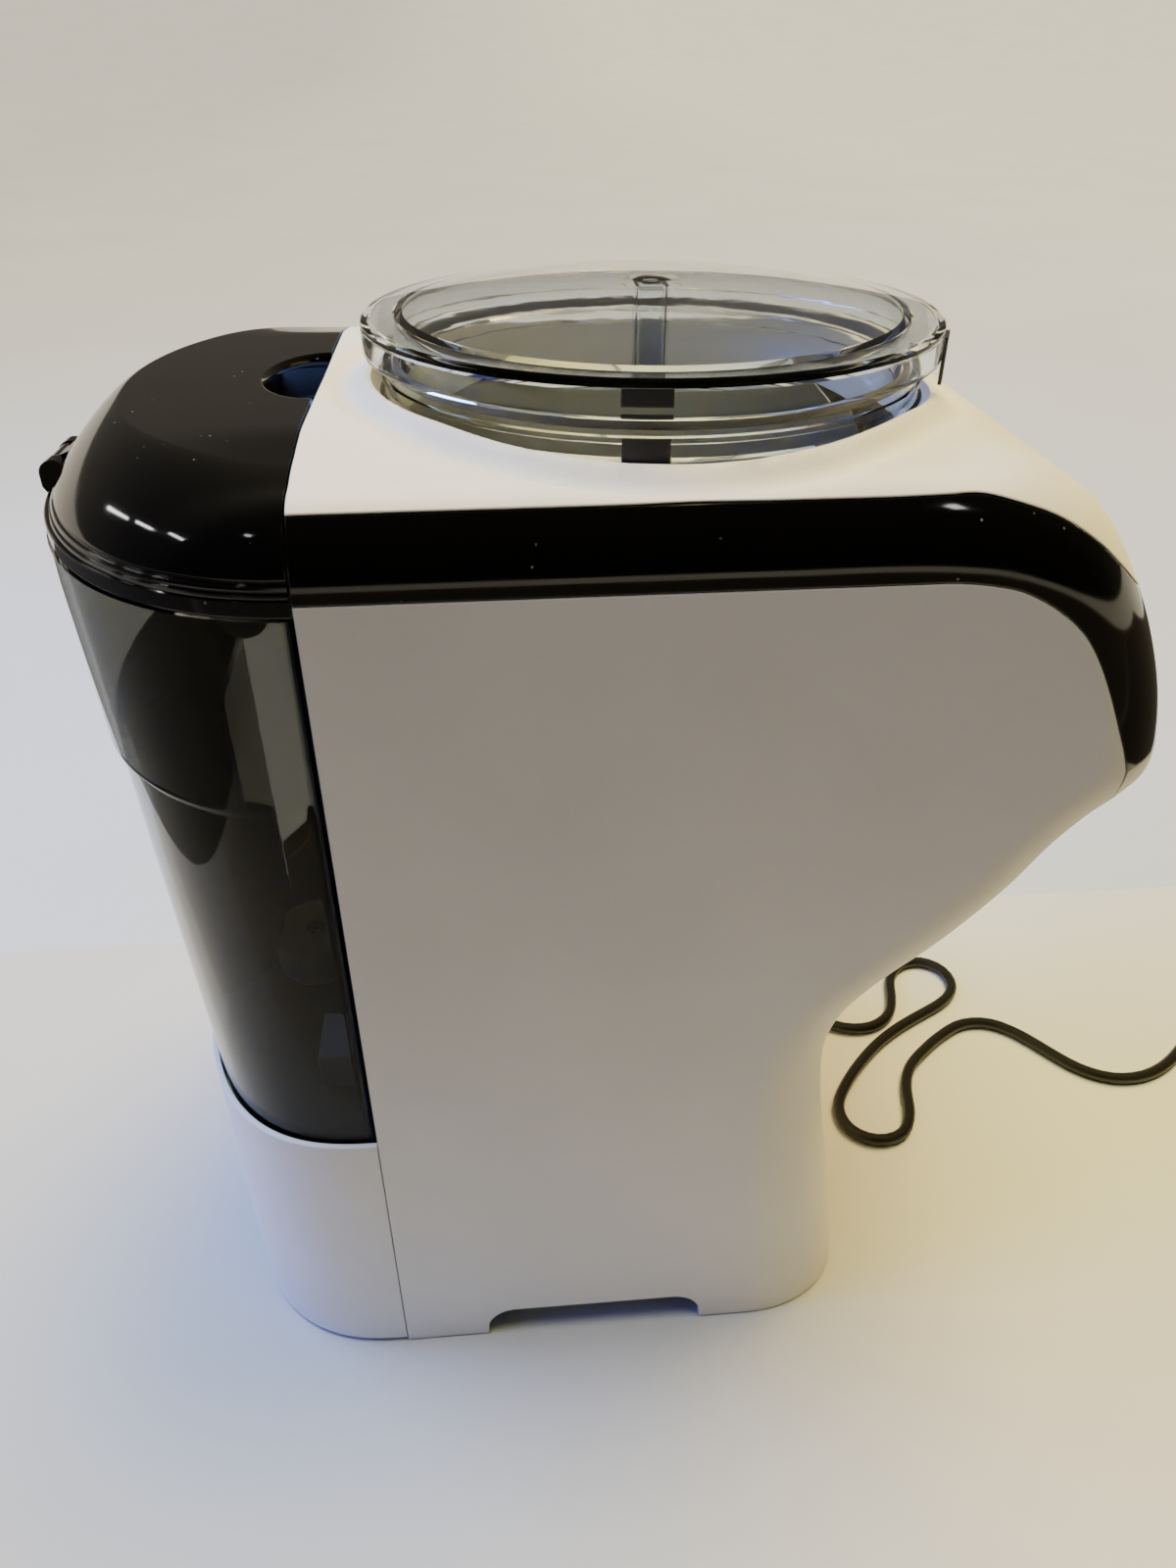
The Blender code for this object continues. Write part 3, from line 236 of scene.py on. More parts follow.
def turned(name, profile, centre, steps=96, axis="z"):
    """A body turned about an axis through centre. Profile is (radius, height); radius 0 is a pole."""
    bm = bmesh.new()
    put = {
        "z": lambda a, b, h: (centre[0] + a, centre[1] + b, centre[2] + h),
        "x": lambda a, b, h: (centre[0] + h, centre[1] + a, centre[2] + b),
        "y": lambda a, b, h: (centre[0] + a, centre[1] + h, centre[2] + b),
    }[axis]
    rows = []
    for r, h in profile:
        if r < 1e-6:
            rows.append([bm.verts.new(put(0, 0, h))])
            continue
        angles = [2 * math.pi * k / steps for k in range(steps)]
        rows.append([bm.verts.new(put(r * math.cos(t), r * math.sin(t), h)) for t in angles])
    pairs = list(zip(rows, rows[1:]))
    if len(rows[0]) > 1 and len(rows[-1]) > 1:
        pairs.append((rows[-1], rows[0]))
    for a, b in pairs:
        for i in range(steps):
            j = (i + 1) % steps
            corners = [a[i % len(a)], a[j % len(a)], b[j % len(b)], b[i % len(b)]]
            unique = list(dict.fromkeys(corners))
            if len(unique) > 2:
                bm.faces.new(unique)
    return to_object(name, bm)


def rod(name, centre, stations, steps=64, axis="z"):
    """A solid round piece from (radius, height) stations."""
    profile = [(0, stations[0][1]), *stations, (0, stations[-1][1])]
    return turned(name, profile, centre, steps, axis)


def apply_modifiers(target):
    """Makes the mesh that the modifiers give the object's own."""
    bpy.context.view_layer.update()
    graph = bpy.context.evaluated_depsgraph_get()
    mesh = bpy.data.meshes.new_from_object(target.evaluated_get(graph))
    target.modifiers.clear()
    old = target.data
    target.data = mesh
    bpy.data.meshes.remove(old)


def combine(target, tool, operation="DIFFERENCE"):
    """Cuts, joins or intersects target with tool, and removes tool."""
    change = target.modifiers.new("combine", "BOOLEAN")
    change.operation = operation
    change.solver = "EXACT"
    change.object = tool
    apply_modifiers(target)
    bpy.data.objects.remove(tool)
    return target


def join(target, *tools):
    """Unites target with each tool."""
    for tool in tools:
        combine(target, tool, "UNION")
    return target


def merge_close(thing, reach):
    """Merges points closer than reach, so that no sliver is left open."""
    bm = bmesh.new()
    bm.from_mesh(thing.data)
    bmesh.ops.remove_doubles(bm, verts=bm.verts, dist=reach * MM)
    bm.to_mesh(thing.data)
    bm.free()


def copy_of(thing, name):
    """A second object with its own mesh."""
    made = bpy.data.objects.new(name, thing.data.copy())
    scene.collection.objects.link(made)
    return made


def shown(thing, material, body, *replaced, slot=None, angle=32):
    """Gives a piece its material and shading, and puts it on its body in place of CAD nodes.

    Angle is the largest, in degrees, that still shades smooth.
    """
    thing.data.materials.clear()
    thing.data.materials.append(material)
    thing.data.shade_smooth()
    thing.data.set_sharp_from_angle(angle=math.radians(angle))
    even = thing.modifiers.new("even", "WEIGHTED_NORMAL")
    even.keep_sharp = True
    apply_modifiers(thing)
    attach(thing, body)
    if replaced:
        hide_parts(*replaced)
    return thing


def smooth(points, spans):
    """A smooth curve through the points (centripetal Catmull-Rom), with spans steps between each two."""
    p = [np.array(q, float) for q in points]
    p = [2 * p[0] - p[1], *p, 2 * p[-1] - p[-2]]
    out = []
    for a, b, c, d in zip(p, p[1:], p[2:], p[3:]):
        t1 = np.linalg.norm(b - a) ** 0.5
        t2 = t1 + np.linalg.norm(c - b) ** 0.5
        t3 = t2 + np.linalg.norm(d - c) ** 0.5
        for k in range(spans):
            t = t1 + (t2 - t1) * k / spans
            ab = (t1 - t) / t1 * a + t / t1 * b
            bc = (t2 - t) / (t2 - t1) * b + (t - t1) / (t2 - t1) * c
            cd = (t3 - t) / (t3 - t2) * c + (t - t2) / (t3 - t2) * d
            abc = (t2 - t) / t2 * ab + t / t2 * bc
            bcd = (t3 - t) / (t3 - t1) * bc + (t - t1) / (t3 - t1) * cd
            out.append((t2 - t) / (t2 - t1) * abc + (t - t1) / (t2 - t1) * bcd)
    return np.array(out + [p[-2]])


def arc(centre, radii, start, end, steps):
    """Points on an ellipse from start to end degrees."""
    angles = np.radians(np.linspace(start, end, steps + 1))
    return [(centre[0] + radii[0] * math.cos(t), centre[1] + radii[1] * math.sin(t)) for t in angles]


def rear_outline(half_width, depth, power, front_y, steps=96, corner=0.0):
    """The D-shaped plan of the rear: a superellipse closed by the straight seam."""
    points = []
    start = math.asin((max(0.0, front_y + corner) / depth) ** (power / 2))
    for t in np.linspace(start, math.pi - start, steps + 1):
        c, s = math.cos(t), math.sin(t)
        x = half_width * math.copysign(abs(c) ** (2 / power), c)
        points.append((x, depth * abs(s) ** (2 / power)))
    half_width = points[0][0]
    points[0], points[-1] = (half_width, front_y + corner), (-half_width, front_y + corner)
    if corner:
        left = arc((-half_width + corner, front_y + corner), (corner, corner), 180, 270, 6)
        right = arc((half_width - corner, front_y + corner), (corner, corner), 270, 360, 6)
        return [*points[:-1], *left, *right[:-1]]
    return points


# ---------------- materials


def new_material(name):
    """A material with its node links and its Principled shader."""
    made = bpy.data.materials.new(name)
    made.use_nodes = True
    return made, made.node_tree.links, made.node_tree.nodes["Principled BSDF"]


def texture(tree, kind, scale):
    """A texture in the row frame's metres, the same on every piece."""
    coords = tree.nodes.new("ShaderNodeTexCoord")
    made = tree.nodes.new(kind)
    made.inputs["Scale"].default_value = scale
    tree.links.new(coords.outputs["Object"], made.inputs["Vector"])
    return made


def noise(tree, scale, detail, roughness=0.55):
    """Fractal noise; the larger the scale, the finer it is."""
    made = texture(tree, "ShaderNodeTexNoise", scale)
    made.inputs["Detail"].default_value = detail
    made.inputs["Roughness"].default_value = roughness
    return made


def ramp(tree, source, stops):
    """A colour ramp over source; stops are (place, grey or colour)."""
    made = tree.nodes.new("ShaderNodeValToRGB")
    marks = made.color_ramp.elements
    while len(marks) < len(stops):
        marks.new(0.5)
    for mark, (place_at, value) in zip(marks, stops):
        mark.position = place_at
        mark.color = (*value, 1) if isinstance(value, tuple) else (value, value, value, 1)
    tree.links.new(source, made.inputs["Fac"])
    return made


def bump(tree, height, strength, distance, under=None):
    """Relief from height, in metres, on top of the normals of under."""
    made = tree.nodes.new("ShaderNodeBump")
    made.inputs["Strength"].default_value = strength
    made.inputs["Distance"].default_value = distance
    tree.links.new(height, made.inputs["Height"])
    if under is not None:
        tree.links.new(under, made.inputs["Normal"])
    return made


def soft_edge(tree, radius):
    """Normals rounded over the piece's edges."""
    made = tree.nodes.new("ShaderNodeBevel")
    made.samples = 4
    made.inputs["Radius"].default_value = radius
    return made


def moulded(name, color, roughness, grain=1700.0, depth=0.00004, shade=0.06, edge=0.0008):
    """Moulded opaque plastic: faint tone changes, a fine spark-eroded grain and rounded edges."""
    made, links, shader = new_material(name)
    tree = made.node_tree
    tone = noise(tree, 14.0, 3.0)
    low = tuple(c * (1 - shade) for c in color)
    colors = ramp(tree, tone.outputs["Fac"], [(0.35, low), (0.65, color)])
    links.new(colors.outputs["Color"], shader.inputs["Base Color"])
    wear = noise(tree, 60.0, 5.0)
    rough = ramp(tree, wear.outputs["Fac"], [(0.3, roughness * 0.88), (0.7, roughness * 1.1)])
    links.new(rough.outputs["Color"], shader.inputs["Roughness"])
    fine = noise(tree, grain, 2.0)
    under = soft_edge(tree, edge).outputs["Normal"] if edge else None
    relief = bump(tree, fine.outputs["Fac"], 0.35, depth, under)
    links.new(relief.outputs["Normal"], shader.inputs["Normal"])
    return made


def gloss(name, color, dust):
    """High-gloss black: long soft waves, a faint film, and specks of dust."""
    made, links, shader = new_material(name)
    tree = made.node_tree
    shader.inputs["IOR"].default_value = 1.52
    specks = texture(tree, "ShaderNodeTexVoronoi", 190.0)
    speck = ramp(tree, specks.outputs["Distance"], [(0.0, 1.0), (0.085, 0.0)])
    patch = noise(tree, 45.0, 3.0)
    where = ramp(tree, patch.outputs["Fac"], [(0.52, 0.0), (0.62, 1.0)])
    both, share = (tree.nodes.new("ShaderNodeMath") for _ in range(2))
    both.operation = share.operation = "MULTIPLY"
    links.new(speck.outputs["Color"], both.inputs[0])
    links.new(where.outputs["Color"], both.inputs[1])
    links.new(both.outputs["Value"], share.inputs[0])
    share.inputs[1].default_value = dust
    mix = tree.nodes.new("ShaderNodeMix")
    mix.data_type = "RGBA"
    mix.inputs[6].default_value = (*color, 1)
    mix.inputs[7].default_value = (0.42, 0.42, 0.40, 1)
    links.new(share.outputs["Value"], mix.inputs[0])
    links.new(mix.outputs[2], shader.inputs["Base Color"])
    film = noise(tree, 26.0, 6.0, 0.65)
    rough = ramp(tree, film.outputs["Fac"], [(0.35, 0.045), (0.62, 0.085), (0.78, 0.16)])
    links.new(rough.outputs["Color"], shader.inputs["Roughness"])
    wave = noise(tree, 22.0, 2.0)
    relief = bump(tree, wave.outputs["Fac"], 0.12, 0.0006, soft_edge(tree, 0.0006).outputs["Normal"])
    links.new(relief.outputs["Normal"], shader.inputs["Normal"])
    return made


def clear(name, color, roughness, ior):
    """Clear or smoked plastic with faint wiping marks."""
    made, links, shader = new_material(name)
    tree = made.node_tree
    shader.inputs["Base Color"].default_value = (*color, 1)
    shader.inputs["Transmission Weight"].default_value = 1.0
    shader.inputs["IOR"].default_value = ior
    film = noise(tree, 40.0, 6.0, 0.7)
    rough = ramp(tree, film.outputs["Fac"], [(0.4, roughness), (0.75, roughness + 0.04)])
    links.new(rough.outputs["Color"], shader.inputs["Roughness"])
    wave = noise(tree, 60.0, 2.0)
    relief = bump(tree, wave.outputs["Fac"], 0.1, 0.0003)
    links.new(relief.outputs["Normal"], shader.inputs["Normal"])
    return made


def metal(name, color, roughness):
    """Drawn or machined metal with a fine grain."""
    made, links, shader = new_material(name)
    tree = made.node_tree
    shader.inputs["Base Color"].default_value = (*color, 1)
    shader.inputs["Metallic"].default_value = 1.0
    grain = noise(tree, 420.0, 3.0)
    rough = ramp(tree, grain.outputs["Fac"], [(0.3, roughness * 0.8), (0.7, roughness * 1.3)])
    links.new(rough.outputs["Color"], shader.inputs["Roughness"])
    return made


def board_material():
    """Green solder mask over copper tracks."""
    made, links, shader = new_material("board")
    tracks = texture(made.node_tree, "ShaderNodeTexBrick", 90.0)
    tracks.inputs["Color1"].default_value = (0.02, 0.13, 0.05, 1)
    tracks.inputs["Color2"].default_value = (0.03, 0.19, 0.08, 1)
    tracks.inputs["Mortar"].default_value = (0.05, 0.24, 0.10, 1)
    links.new(tracks.outputs["Color"], shader.inputs["Base Color"])
    shader.inputs["Roughness"].default_value = 0.4
    return made


WHITE = moulded("white_plastic", (0.83, 0.81, 0.775), 0.42)
BLACK_GLOSS = gloss("black_gloss", (0.0018, 0.0018, 0.0018), 0.8)
BLACK = moulded("black_plastic", (0.022, 0.022, 0.024), 0.38, 900.0, 0.00005, 0.2)
WHITE_INNER = moulded("white_inner", (0.72, 0.72, 0.70), 0.5, 900.0, 0.00005, 0.08)
SMOKED = clear("smoked_plastic", (0.26, 0.258, 0.222), 0.0, 1.22)
CLEAR = clear("clear_plastic", (0.925, 0.955, 0.98), 0.01, 1.22)
SILICONE = moulded("silicone", (0.30, 0.31, 0.33), 0.55, 700.0, 0.00005, 0.1)
SEAL = moulded("dark_seal", (0.05, 0.05, 0.055), 0.5, 700.0, 0.00005, 0.1)
RUBBER = moulded("rubber", (0.018, 0.018, 0.018), 0.8, 600.0, 0.0001, 0.2)
JACKET = moulded("cord_jacket", (0.012, 0.012, 0.0125), 0.36, 500.0, 0.00006, 0.2, 0)
STEEL = metal("steel", (0.62, 0.62, 0.63), 0.28)
BRASS = metal("brass", (0.72, 0.56, 0.28), 0.3)
BOARD = board_material()
DISPLAY = gloss("display_window", (0.003, 0.004, 0.006), 0.2)
MARK = moulded("button_mark", (0.75, 0.76, 0.76), 0.4, 900.0, 0.00002, 0.04)
BY_SLOT = {
    "white_shell": WHITE, "black_gloss": BLACK_GLOSS, "black_plastic": BLACK, "smoked_clear": SMOKED,
    "clear_plastic": CLEAR, "white_inner": WHITE_INNER, "silicone": SILICONE, "rubber": RUBBER,
    "steel": STEEL, "brass": BRASS, "circuit_board": BOARD, "cord_jacket": JACKET, "display": DISPLAY,
}


# ---------------- camera and mains lead


def camera():
    """The photograph's viewpoint: near the flat side, from above."""
    data = bpy.data.cameras.new("camera")
    data.sensor_width = 36.0
    data.lens = 25.97
    data.clip_start = 0.01
    thing = bpy.data.objects.new("camera", data)
    scene.collection.objects.link(thing)
    yaw, pitch, roll = (math.radians(a) for a in (-4.76, 33.67, -0.12))
    forward = Vector((math.cos(yaw) * math.cos(pitch), math.sin(yaw) * math.cos(pitch), -math.sin(pitch)))
    thing.rotation_mode = "QUATERNION"
    thing.rotation_quaternion = forward.to_track_quat("-Z", "Y") @ Quaternion((0, 0, 1), roll)
    thing.location = (-0.3329, 0.0261, 0.395)
    scene.camera = thing


def coil_points():
    """The lead wound clockwise from where it comes in to where the plug's tail goes out."""
    start = math.degrees(math.atan2(LEAD_ROUTE[-1][1] - COIL_CENTRE[1], LEAD_ROUTE[-1][0] - COIL_CENTRE[0]))
    keys = smooth(COIL_KEYS, 4)
    points = []
    for turned_by in np.arange(COIL_KEYS[0][0], COIL_KEYS[-1][0] + 1, 14):
        r = np.interp(turned_by, keys[:, 0], keys[:, 1])
        z = np.interp(turned_by, keys[:, 0], keys[:, 2])
        angle = math.radians(start - turned_by)
        points.append((COIL_CENTRE[0] + r * math.cos(angle), COIL_CENTRE[1] + r * math.sin(angle), z))
    return points


def mains_lead():
    """The lead, its coil and the plug's tail as one smooth curve on the table."""
    line = smooth([*LEAD_ROUTE, *coil_points(), *TAIL_ROUTE], 3)
    line[1:-1] = 0.25 * line[:-2] + 0.5 * line[1:-1] + 0.25 * line[2:]
    line[:, 2] = np.maximum(line[:, 2], CORD_D / 2 + 0.05)
    curve = bpy.data.curves.new("mains_lead", "CURVE")
    curve.dimensions = "3D"
    curve.bevel_depth = CORD_D / 2 * MM
    curve.bevel_resolution = 6
    curve.use_fill_caps = True
    spline = curve.splines.new("POLY")
    spline.points.add(len(line) - 1)
    for spot, point in zip(spline.points, line):
        spot.co = (*place(point), 1)
    spline.use_smooth = True
    curve.materials.append(JACKET)
    lead = bpy.data.objects.new("mains_lead", curve)
    scene.collection.objects.link(lead)
    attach(lead, "housing")
    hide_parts("cord_lead", "cord_coil", "cord_tail")


def cord_gland():
    """A tapered strain relief with ring slots."""
    profile = [(0, 60), (4.2, 60), (4.3, 61), (4.3, 72), (6.2, 72), (6.2, 73.6), (5.6, 74.4)]
    for k in range(6):
        x = 75.5 + 3.3 * k
        r = 5.2 - 0.32 * k
        profile += [(r, x), (r - 0.1, x + 2.1), (r - 1.0, x + 2.3), (r - 1.05, x + 3.1)]
    profile += [(3.3, 95.5), (3.0, 97.2), (0, 97.2)]
    gland = turned("strain_relief", profile, (0, GLAND_Y, GLAND_Z), 40, "x")
    shown(gland, RUBBER, "housing", "cord_gland", slot="rubber")


camera()
mains_lead()
cord_gland()


# ---------------- outer shells


def body_solid(name, inset, overrun, flats=0, relief=None):
    """The whole body as one solid, drawn in by inset, and carried past its open rear and bottom.

    Relief lifts the top; flats is the number of rows between the two rounded edges.
    """
    fine_from_z = 300 if flats > 40 else math.inf
    rows = smooth(OUTLINE, 20)
    rows = np.array([row for i, row in enumerate(rows) if i % 4 == 0 or row[1] > fine_from_z])
    outer, side = rows[:, :2], rows[:, 2:]
    run = np.gradient(outer, axis=0)
    run /= np.linalg.norm(run, axis=1)[:, None]
    inward = np.stack([-run[:, 1], run[:, 0]], 1)
    inward[0], inward[-1] = (0, -1), (1, 0)
    edge = (side - outer) * (SHOULDER - inset) / SHOULDER
    flank = HALF_WIDTH - SHOULDER
    levels = np.radians(np.linspace(0, 90, 19))
    across = [(-flank - (SHOULDER - inset) * math.cos(t), t) for t in levels]
    middle = [(x, math.pi / 2) for x in np.linspace(-flank, flank, flats + 2)[1:-1]]
    across = [*across, *middle, *[(-x, t) for x, t in reversed(across)]]
    rings = []
    for x, t in across:
        line = outer + inward * inset + edge * (1 - math.sin(t))
        line[0, 0], line[-1, 1] = overrun, SHELL_BOTTOM_Z - overrun
        points = [(x, y, z + (relief(x, y) if relief and z > RELIEF_Z else 0.0)) for y, z in line]
        rings.append([*points, (x, overrun, SHELL_BOTTOM_Z - overrun)])
    return loft(name, rings)


def ease(low, high, value):
    """0 below low, 1 above high, and a smooth step between."""
    t = min(1.0, max(0.0, (value - low) / (high - low)))
    return t * t * (3 - 2 * t)


def crown(x, y):
    """How far the top falls beside the well; it ends before the rounded edges, the nose and the rear."""
    across = ease(50, 79, abs(x)) * (1 - ease(80, 91, abs(x)))
    return -CROWN_DROP * across * ease(-176, -150, y) * (1 - ease(0, 45, y))


def ridge(r, height, at, width):
    """A round ridge, or a groove where height is below 0, at radius at."""
    return height * math.exp(-(((r - at) / width) ** 2))


def rim_relief(x, y):
    """The crown, the soft raised lip round the container's well, and the shallow groove outside it."""
    r = math.hypot(x, y - AXIS_Y)
    rim = ridge(r, *LIP) + ridge(r, *GROOVE)
    return crown(x, y) + rim


def region(name, outline, low=-120.0, high=120.0):
    """A (y, z) outline carried across the body, or from low to high."""
    return prism(name, outline, low, high, "x")


def curved_edge(points, amount):
    """The band's edge as a smooth line, moved up by amount; its two ends stay straight."""
    body = smooth(points[2:-1], 6)
    return [(y, z + amount) for y, z in [points[1], *body]]


def notch_cutter():
    """The notch with two round upper corners in the side panels' feet."""
    outline = [(NOTCH_FRONT_Y, -5), (NOTCH_BACK_Y, -5)]
    outline += arc((NOTCH_BACK_Y - NOTCH_R, NOTCH_Z - NOTCH_R), (NOTCH_R, NOTCH_R), 0, 90, 12)
    outline += arc((NOTCH_FRONT_Y + NOTCH_R, NOTCH_Z - NOTCH_R), (NOTCH_R, NOTCH_R), 90, 180, 12)
    return region("notch", outline)


def side_panels(shell):
    """The two flat flanks below the gloss band."""
    lower = curved_edge(BAND_LOWER, -GAP / 2)
    area = [(-GAP / 2, -5), (-GAP / 2, BAND_BOTTOM_Z - GAP / 2), *lower, (TIP_Y, 225), (TIP_Y, -5)]
    inner = PANEL_EDGE_X + GAP / 2
    for side, low, high in (("left", -120, -inner), ("right", inner, 120)):
        panel = combine(copy_of(shell, side + "_side"), region("area", area, low, high), "INTERSECT")
        combine(panel, notch_cutter())
        shown(panel, WHITE, "housing", side + "_side_panel", slot="white_shell")


def top_cover():
    """The white top between the bands, with the container's well and its lip."""
    fine = body_solid("cover", 0.0, 0.0, 88, rim_relief)
    sleeve = [(WELL_R + 2, 298), (WELL_R + 2, 330)]
    combine(fine, combine(body_solid("core", WALL, 12.0, 28, crown), rod("sleeve", AXIS, sleeve, 160)))
    edge = curved_edge(BAND_UPPER, GAP / 2)
    area = [(-GAP / 2, BAND_TOP_Z + GAP / 2), *edge, (NOSE_Y, 256), (NOSE_Y, 340), (-GAP / 2, 340)]
    combine(fine, join(region("area", area), rod("sleeve", AXIS, sleeve, 160)), "INTERSECT")
    combine(fine, rod("well", AXIS, [(WELL_R, 290), (WELL_R, 335)], 160))
    merge_close(fine, 0.06)
    shown(fine, WHITE, "housing", "top_cover", slot="white_shell", angle=40)


def on_face(thing, x):
    """Puts a piece drawn about the origin on the nose's front face, x across, with -y out of it."""
    turn = Matrix.Rotation(-FACE_TILT, 4, "X")
    to_face = Matrix.Translation(place((x, FACE_Y, FACE_Z))) @ turn @ Matrix.Translation(-place((0, 0, 0)))
    thing.data.transform(to_face)
    return thing


def rounded(half_x, half_z, r):
    """A rectangle with round corners, as (x, z)."""
    out = []
    for cx, cz, start in ((1, 1, 0), (-1, 1, 90), (-1, -1, 180), (1, -1, 270)):
        out += arc((cx * (half_x - r), cz * (half_z - r)), (r, r), start, start + 90, 6)
    return out


def fascia_band(shell):
    """The gloss band round the body and across the nose, with holes for the buttons and the window."""
    lower = curved_edge(BAND_LOWER, GAP / 2)
    upper = curved_edge(BAND_UPPER, -GAP / 2)
    area = [(-GAP / 2, BAND_BOTTOM_Z + GAP / 2), *lower, (NOSE_Y, 239.4), (NOSE_Y, 256), *reversed(upper)]
    area += [(-GAP / 2, BAND_TOP_Z - GAP / 2)]
    band = combine(copy_of(shell, "gloss_band"), region("area", area), "INTERSECT")
    for x in BUTTON_X.values():
        hole = rod("hole", (0, 0, 0), [(BUTTON_R + 0.4, -12), (BUTTON_R + 0.4, 12)], 48, "y")
        combine(band, on_face(hole, x))
    combine(band, on_face(prism("window", rounded(20.4, 9.4, 2.4), -12, 12, "y"), 0))
    shown(band, BLACK_GLOSS, "housing", "fascia_band", slot="black_gloss")


def lower_front_cover(shell):
    """The white front below the band, between the side panels, open for the drawer and the spout."""
    edge = curved_edge(BAND_LOWER, -GAP / 2)
    lower = [p for p in edge if p[0] < TIP_Y + 1]
    area = [(-110, -5), (-110, 232), (TIP_Y + 1, 233), *lower, (NOSE_Y, 239.4), (NOSE_Y, -5)]
    cover = combine(copy_of(shell, "front_cover"), region("area", area), "INTERSECT")
    for low, high in ((-120, -PANEL_EDGE_X + GAP / 2), (PANEL_EDGE_X - GAP / 2, 120)):
        combine(cover, box("side", (low, TIP_Y - GAP, -10), (high, 20, 400)))
    wide = DRAWER_HALF_WIDTH + 0.4
    low = (-wide, NOSE_Y, DRAWER_BOTTOM_Z - 0.4)
    combine(cover, box("slot", low, (wide, DRAWER_BACK_Y + 1, DRAWER_TOP_Z + 0.4)))
    combine(cover, box("outlet", (-12, NOSE_Y, 160), (12, FUNNEL_Y + 13, DRAWER_BOTTOM_Z + 1)))
    shown(cover, WHITE, "housing", "lower_front_cover", slot="white_shell")


def funnel_drawer():
    """The drawer under the nose and the clear funnel in it."""
    low = (-DRAWER_HALF_WIDTH, NOSE_Y, DRAWER_BOTTOM_Z)
    high = (DRAWER_HALF_WIDTH, DRAWER_BACK_Y, DRAWER_TOP_Z)
    drawer = combine(body_solid("drawer", 0.0, 0.0), box("area", low, high), "INTERSECT")
    cone = [(9.4, 190), (9.4, 199), (25.6, 218.6), (27.4, 218.7), (27.4, 230)]
    centre = (0, FUNNEL_Y, 0)
    combine(drawer, rod("cone", centre, cone, 72))
    shown(drawer, WHITE, "drawer", "funnel_drawer", slot="white_shell")
    profile = [
        (27, 219), (27, 220.4), (26.8, 220.6), (22.4, 220.6), (21.9, 220.3), (6.2, 199.5), (4.6, 176.2),
        (4.8, 176), (6.0, 176), (6.2, 176.2), (8.0, 198.5), (24, 219),
    ]
    shown(turned("clear_funnel", profile, centre), CLEAR, "drawer", "funnel", slot="clear_plastic")


def raised_ring(r):
    """A round line in relief on a button, with inner radius r."""
    profile = [(r, -0.2), (r, -0.62), (r + 0.6, -0.66), (r + 0.6, -0.2)]
    return turned("bar", profile, (0, 0, 0), 40, "y")


def buttons_and_display():
    """Four round buttons, each with a plain bar, cross or ring, and the dark window between them."""
    cap = [(0, -0.35), (3.4, -0.45), (5.0, -0.8), (5.9, -0.9), (6.3, -0.6)]
    cap += [(BUTTON_R, -0.1), (BUTTON_R, 4.2), (0, 4.2)]
    for name, x in BUTTON_X.items():
        button = on_face(turned("button_" + name, cap, (0, 0, 0), 56, "y"), x)
        shown(button, BLACK, name, name + "_button", slot="black_plastic")
        if name == "start":
            bars = [raised_ring(2.2)]
        elif name == "temperature":
            bars = [raised_ring(1.3)]
        else:
            bars = [box("bar", (-2.2, -0.62, -0.35), (2.2, -0.2, 0.35))]
        if name == "plus":
            bars.append(box("bar", (-0.35, -0.62, -2.2), (0.35, -0.2, 2.2)))
        mark = join(*bars)
        mark.name = "mark_" + name
        shown(on_face(mark, x), MARK, name)
    lens = on_face(prism("display_window", rounded(20, 9, 2.1), -0.5, 1.0, "y"), 0)
    shown(lens, DISPLAY, "housing", "display_lens", slot="display")


shell = combine(body_solid("shell", 0.0, 0.0), body_solid("core", WALL, 12.0))
side_panels(shell)
fascia_band(shell)
lower_front_cover(shell)
bpy.data.objects.remove(shell)
top_cover()
funnel_drawer()
buttons_and_display()


# ---------------- water tank, cradle and lid


def tank_cradle():
    """The white foot that the tank stands in."""
    heights = [(SHELL_BOTTOM_Z, 1.4), (1.4, 0.5), (2.4, 0.0), (60, 0.0), (106.6, 0.0), (CRADLE_TOP_Z, 0.35)]
    rings = []
    for z, inset in heights:
        outline = rear_outline(HALF_WIDTH - inset, CRADLE_DEPTH - inset, REAR_POWER, GAP / 2)
        rings.append([(x, y, z) for x, y in outline])
    cradle = loft("cradle", rings)
    inside = rear_outline(HALF_WIDTH - 1.7, CRADLE_DEPTH - 1.7, REAR_POWER, -10)
    combine(cradle, prism("below", inside, -10, CRADLE_FLOOR_Z, "z"))
    combine(cradle, prism("pocket", inside, CRADLE_FLOOR_Z + 2.5, 130, "z"))
    combine(cradle, rod("hole", (0, VALVE_Y, 0), [(12.4, 80), (12.4, 110)]))
    shown(cradle, WHITE, "housing", "tank_cradle", slot="white_shell")


def tank_ring(z, inset=0.0):
    """The tank's plan at height z: fuller and deeper towards the top, with a step out."""
    share = (z - TANK_BOTTOM_Z) / (TANK_TOP_Z - TANK_BOTTOM_Z)
    step = min(1.0, max(0.0, (z - TANK_STEP_Z + 1) / 2))
    width = 96.2 + 1.2 * share - inset
    depth = 60.6 + 15.2 * share - inset + 2.1 * step
    outline = rear_outline(width, depth, REAR_POWER - 0.6 * share, TANK_FRONT_Y + inset, 96, 2.5)
    return [(x, y, z) for x, y in outline]


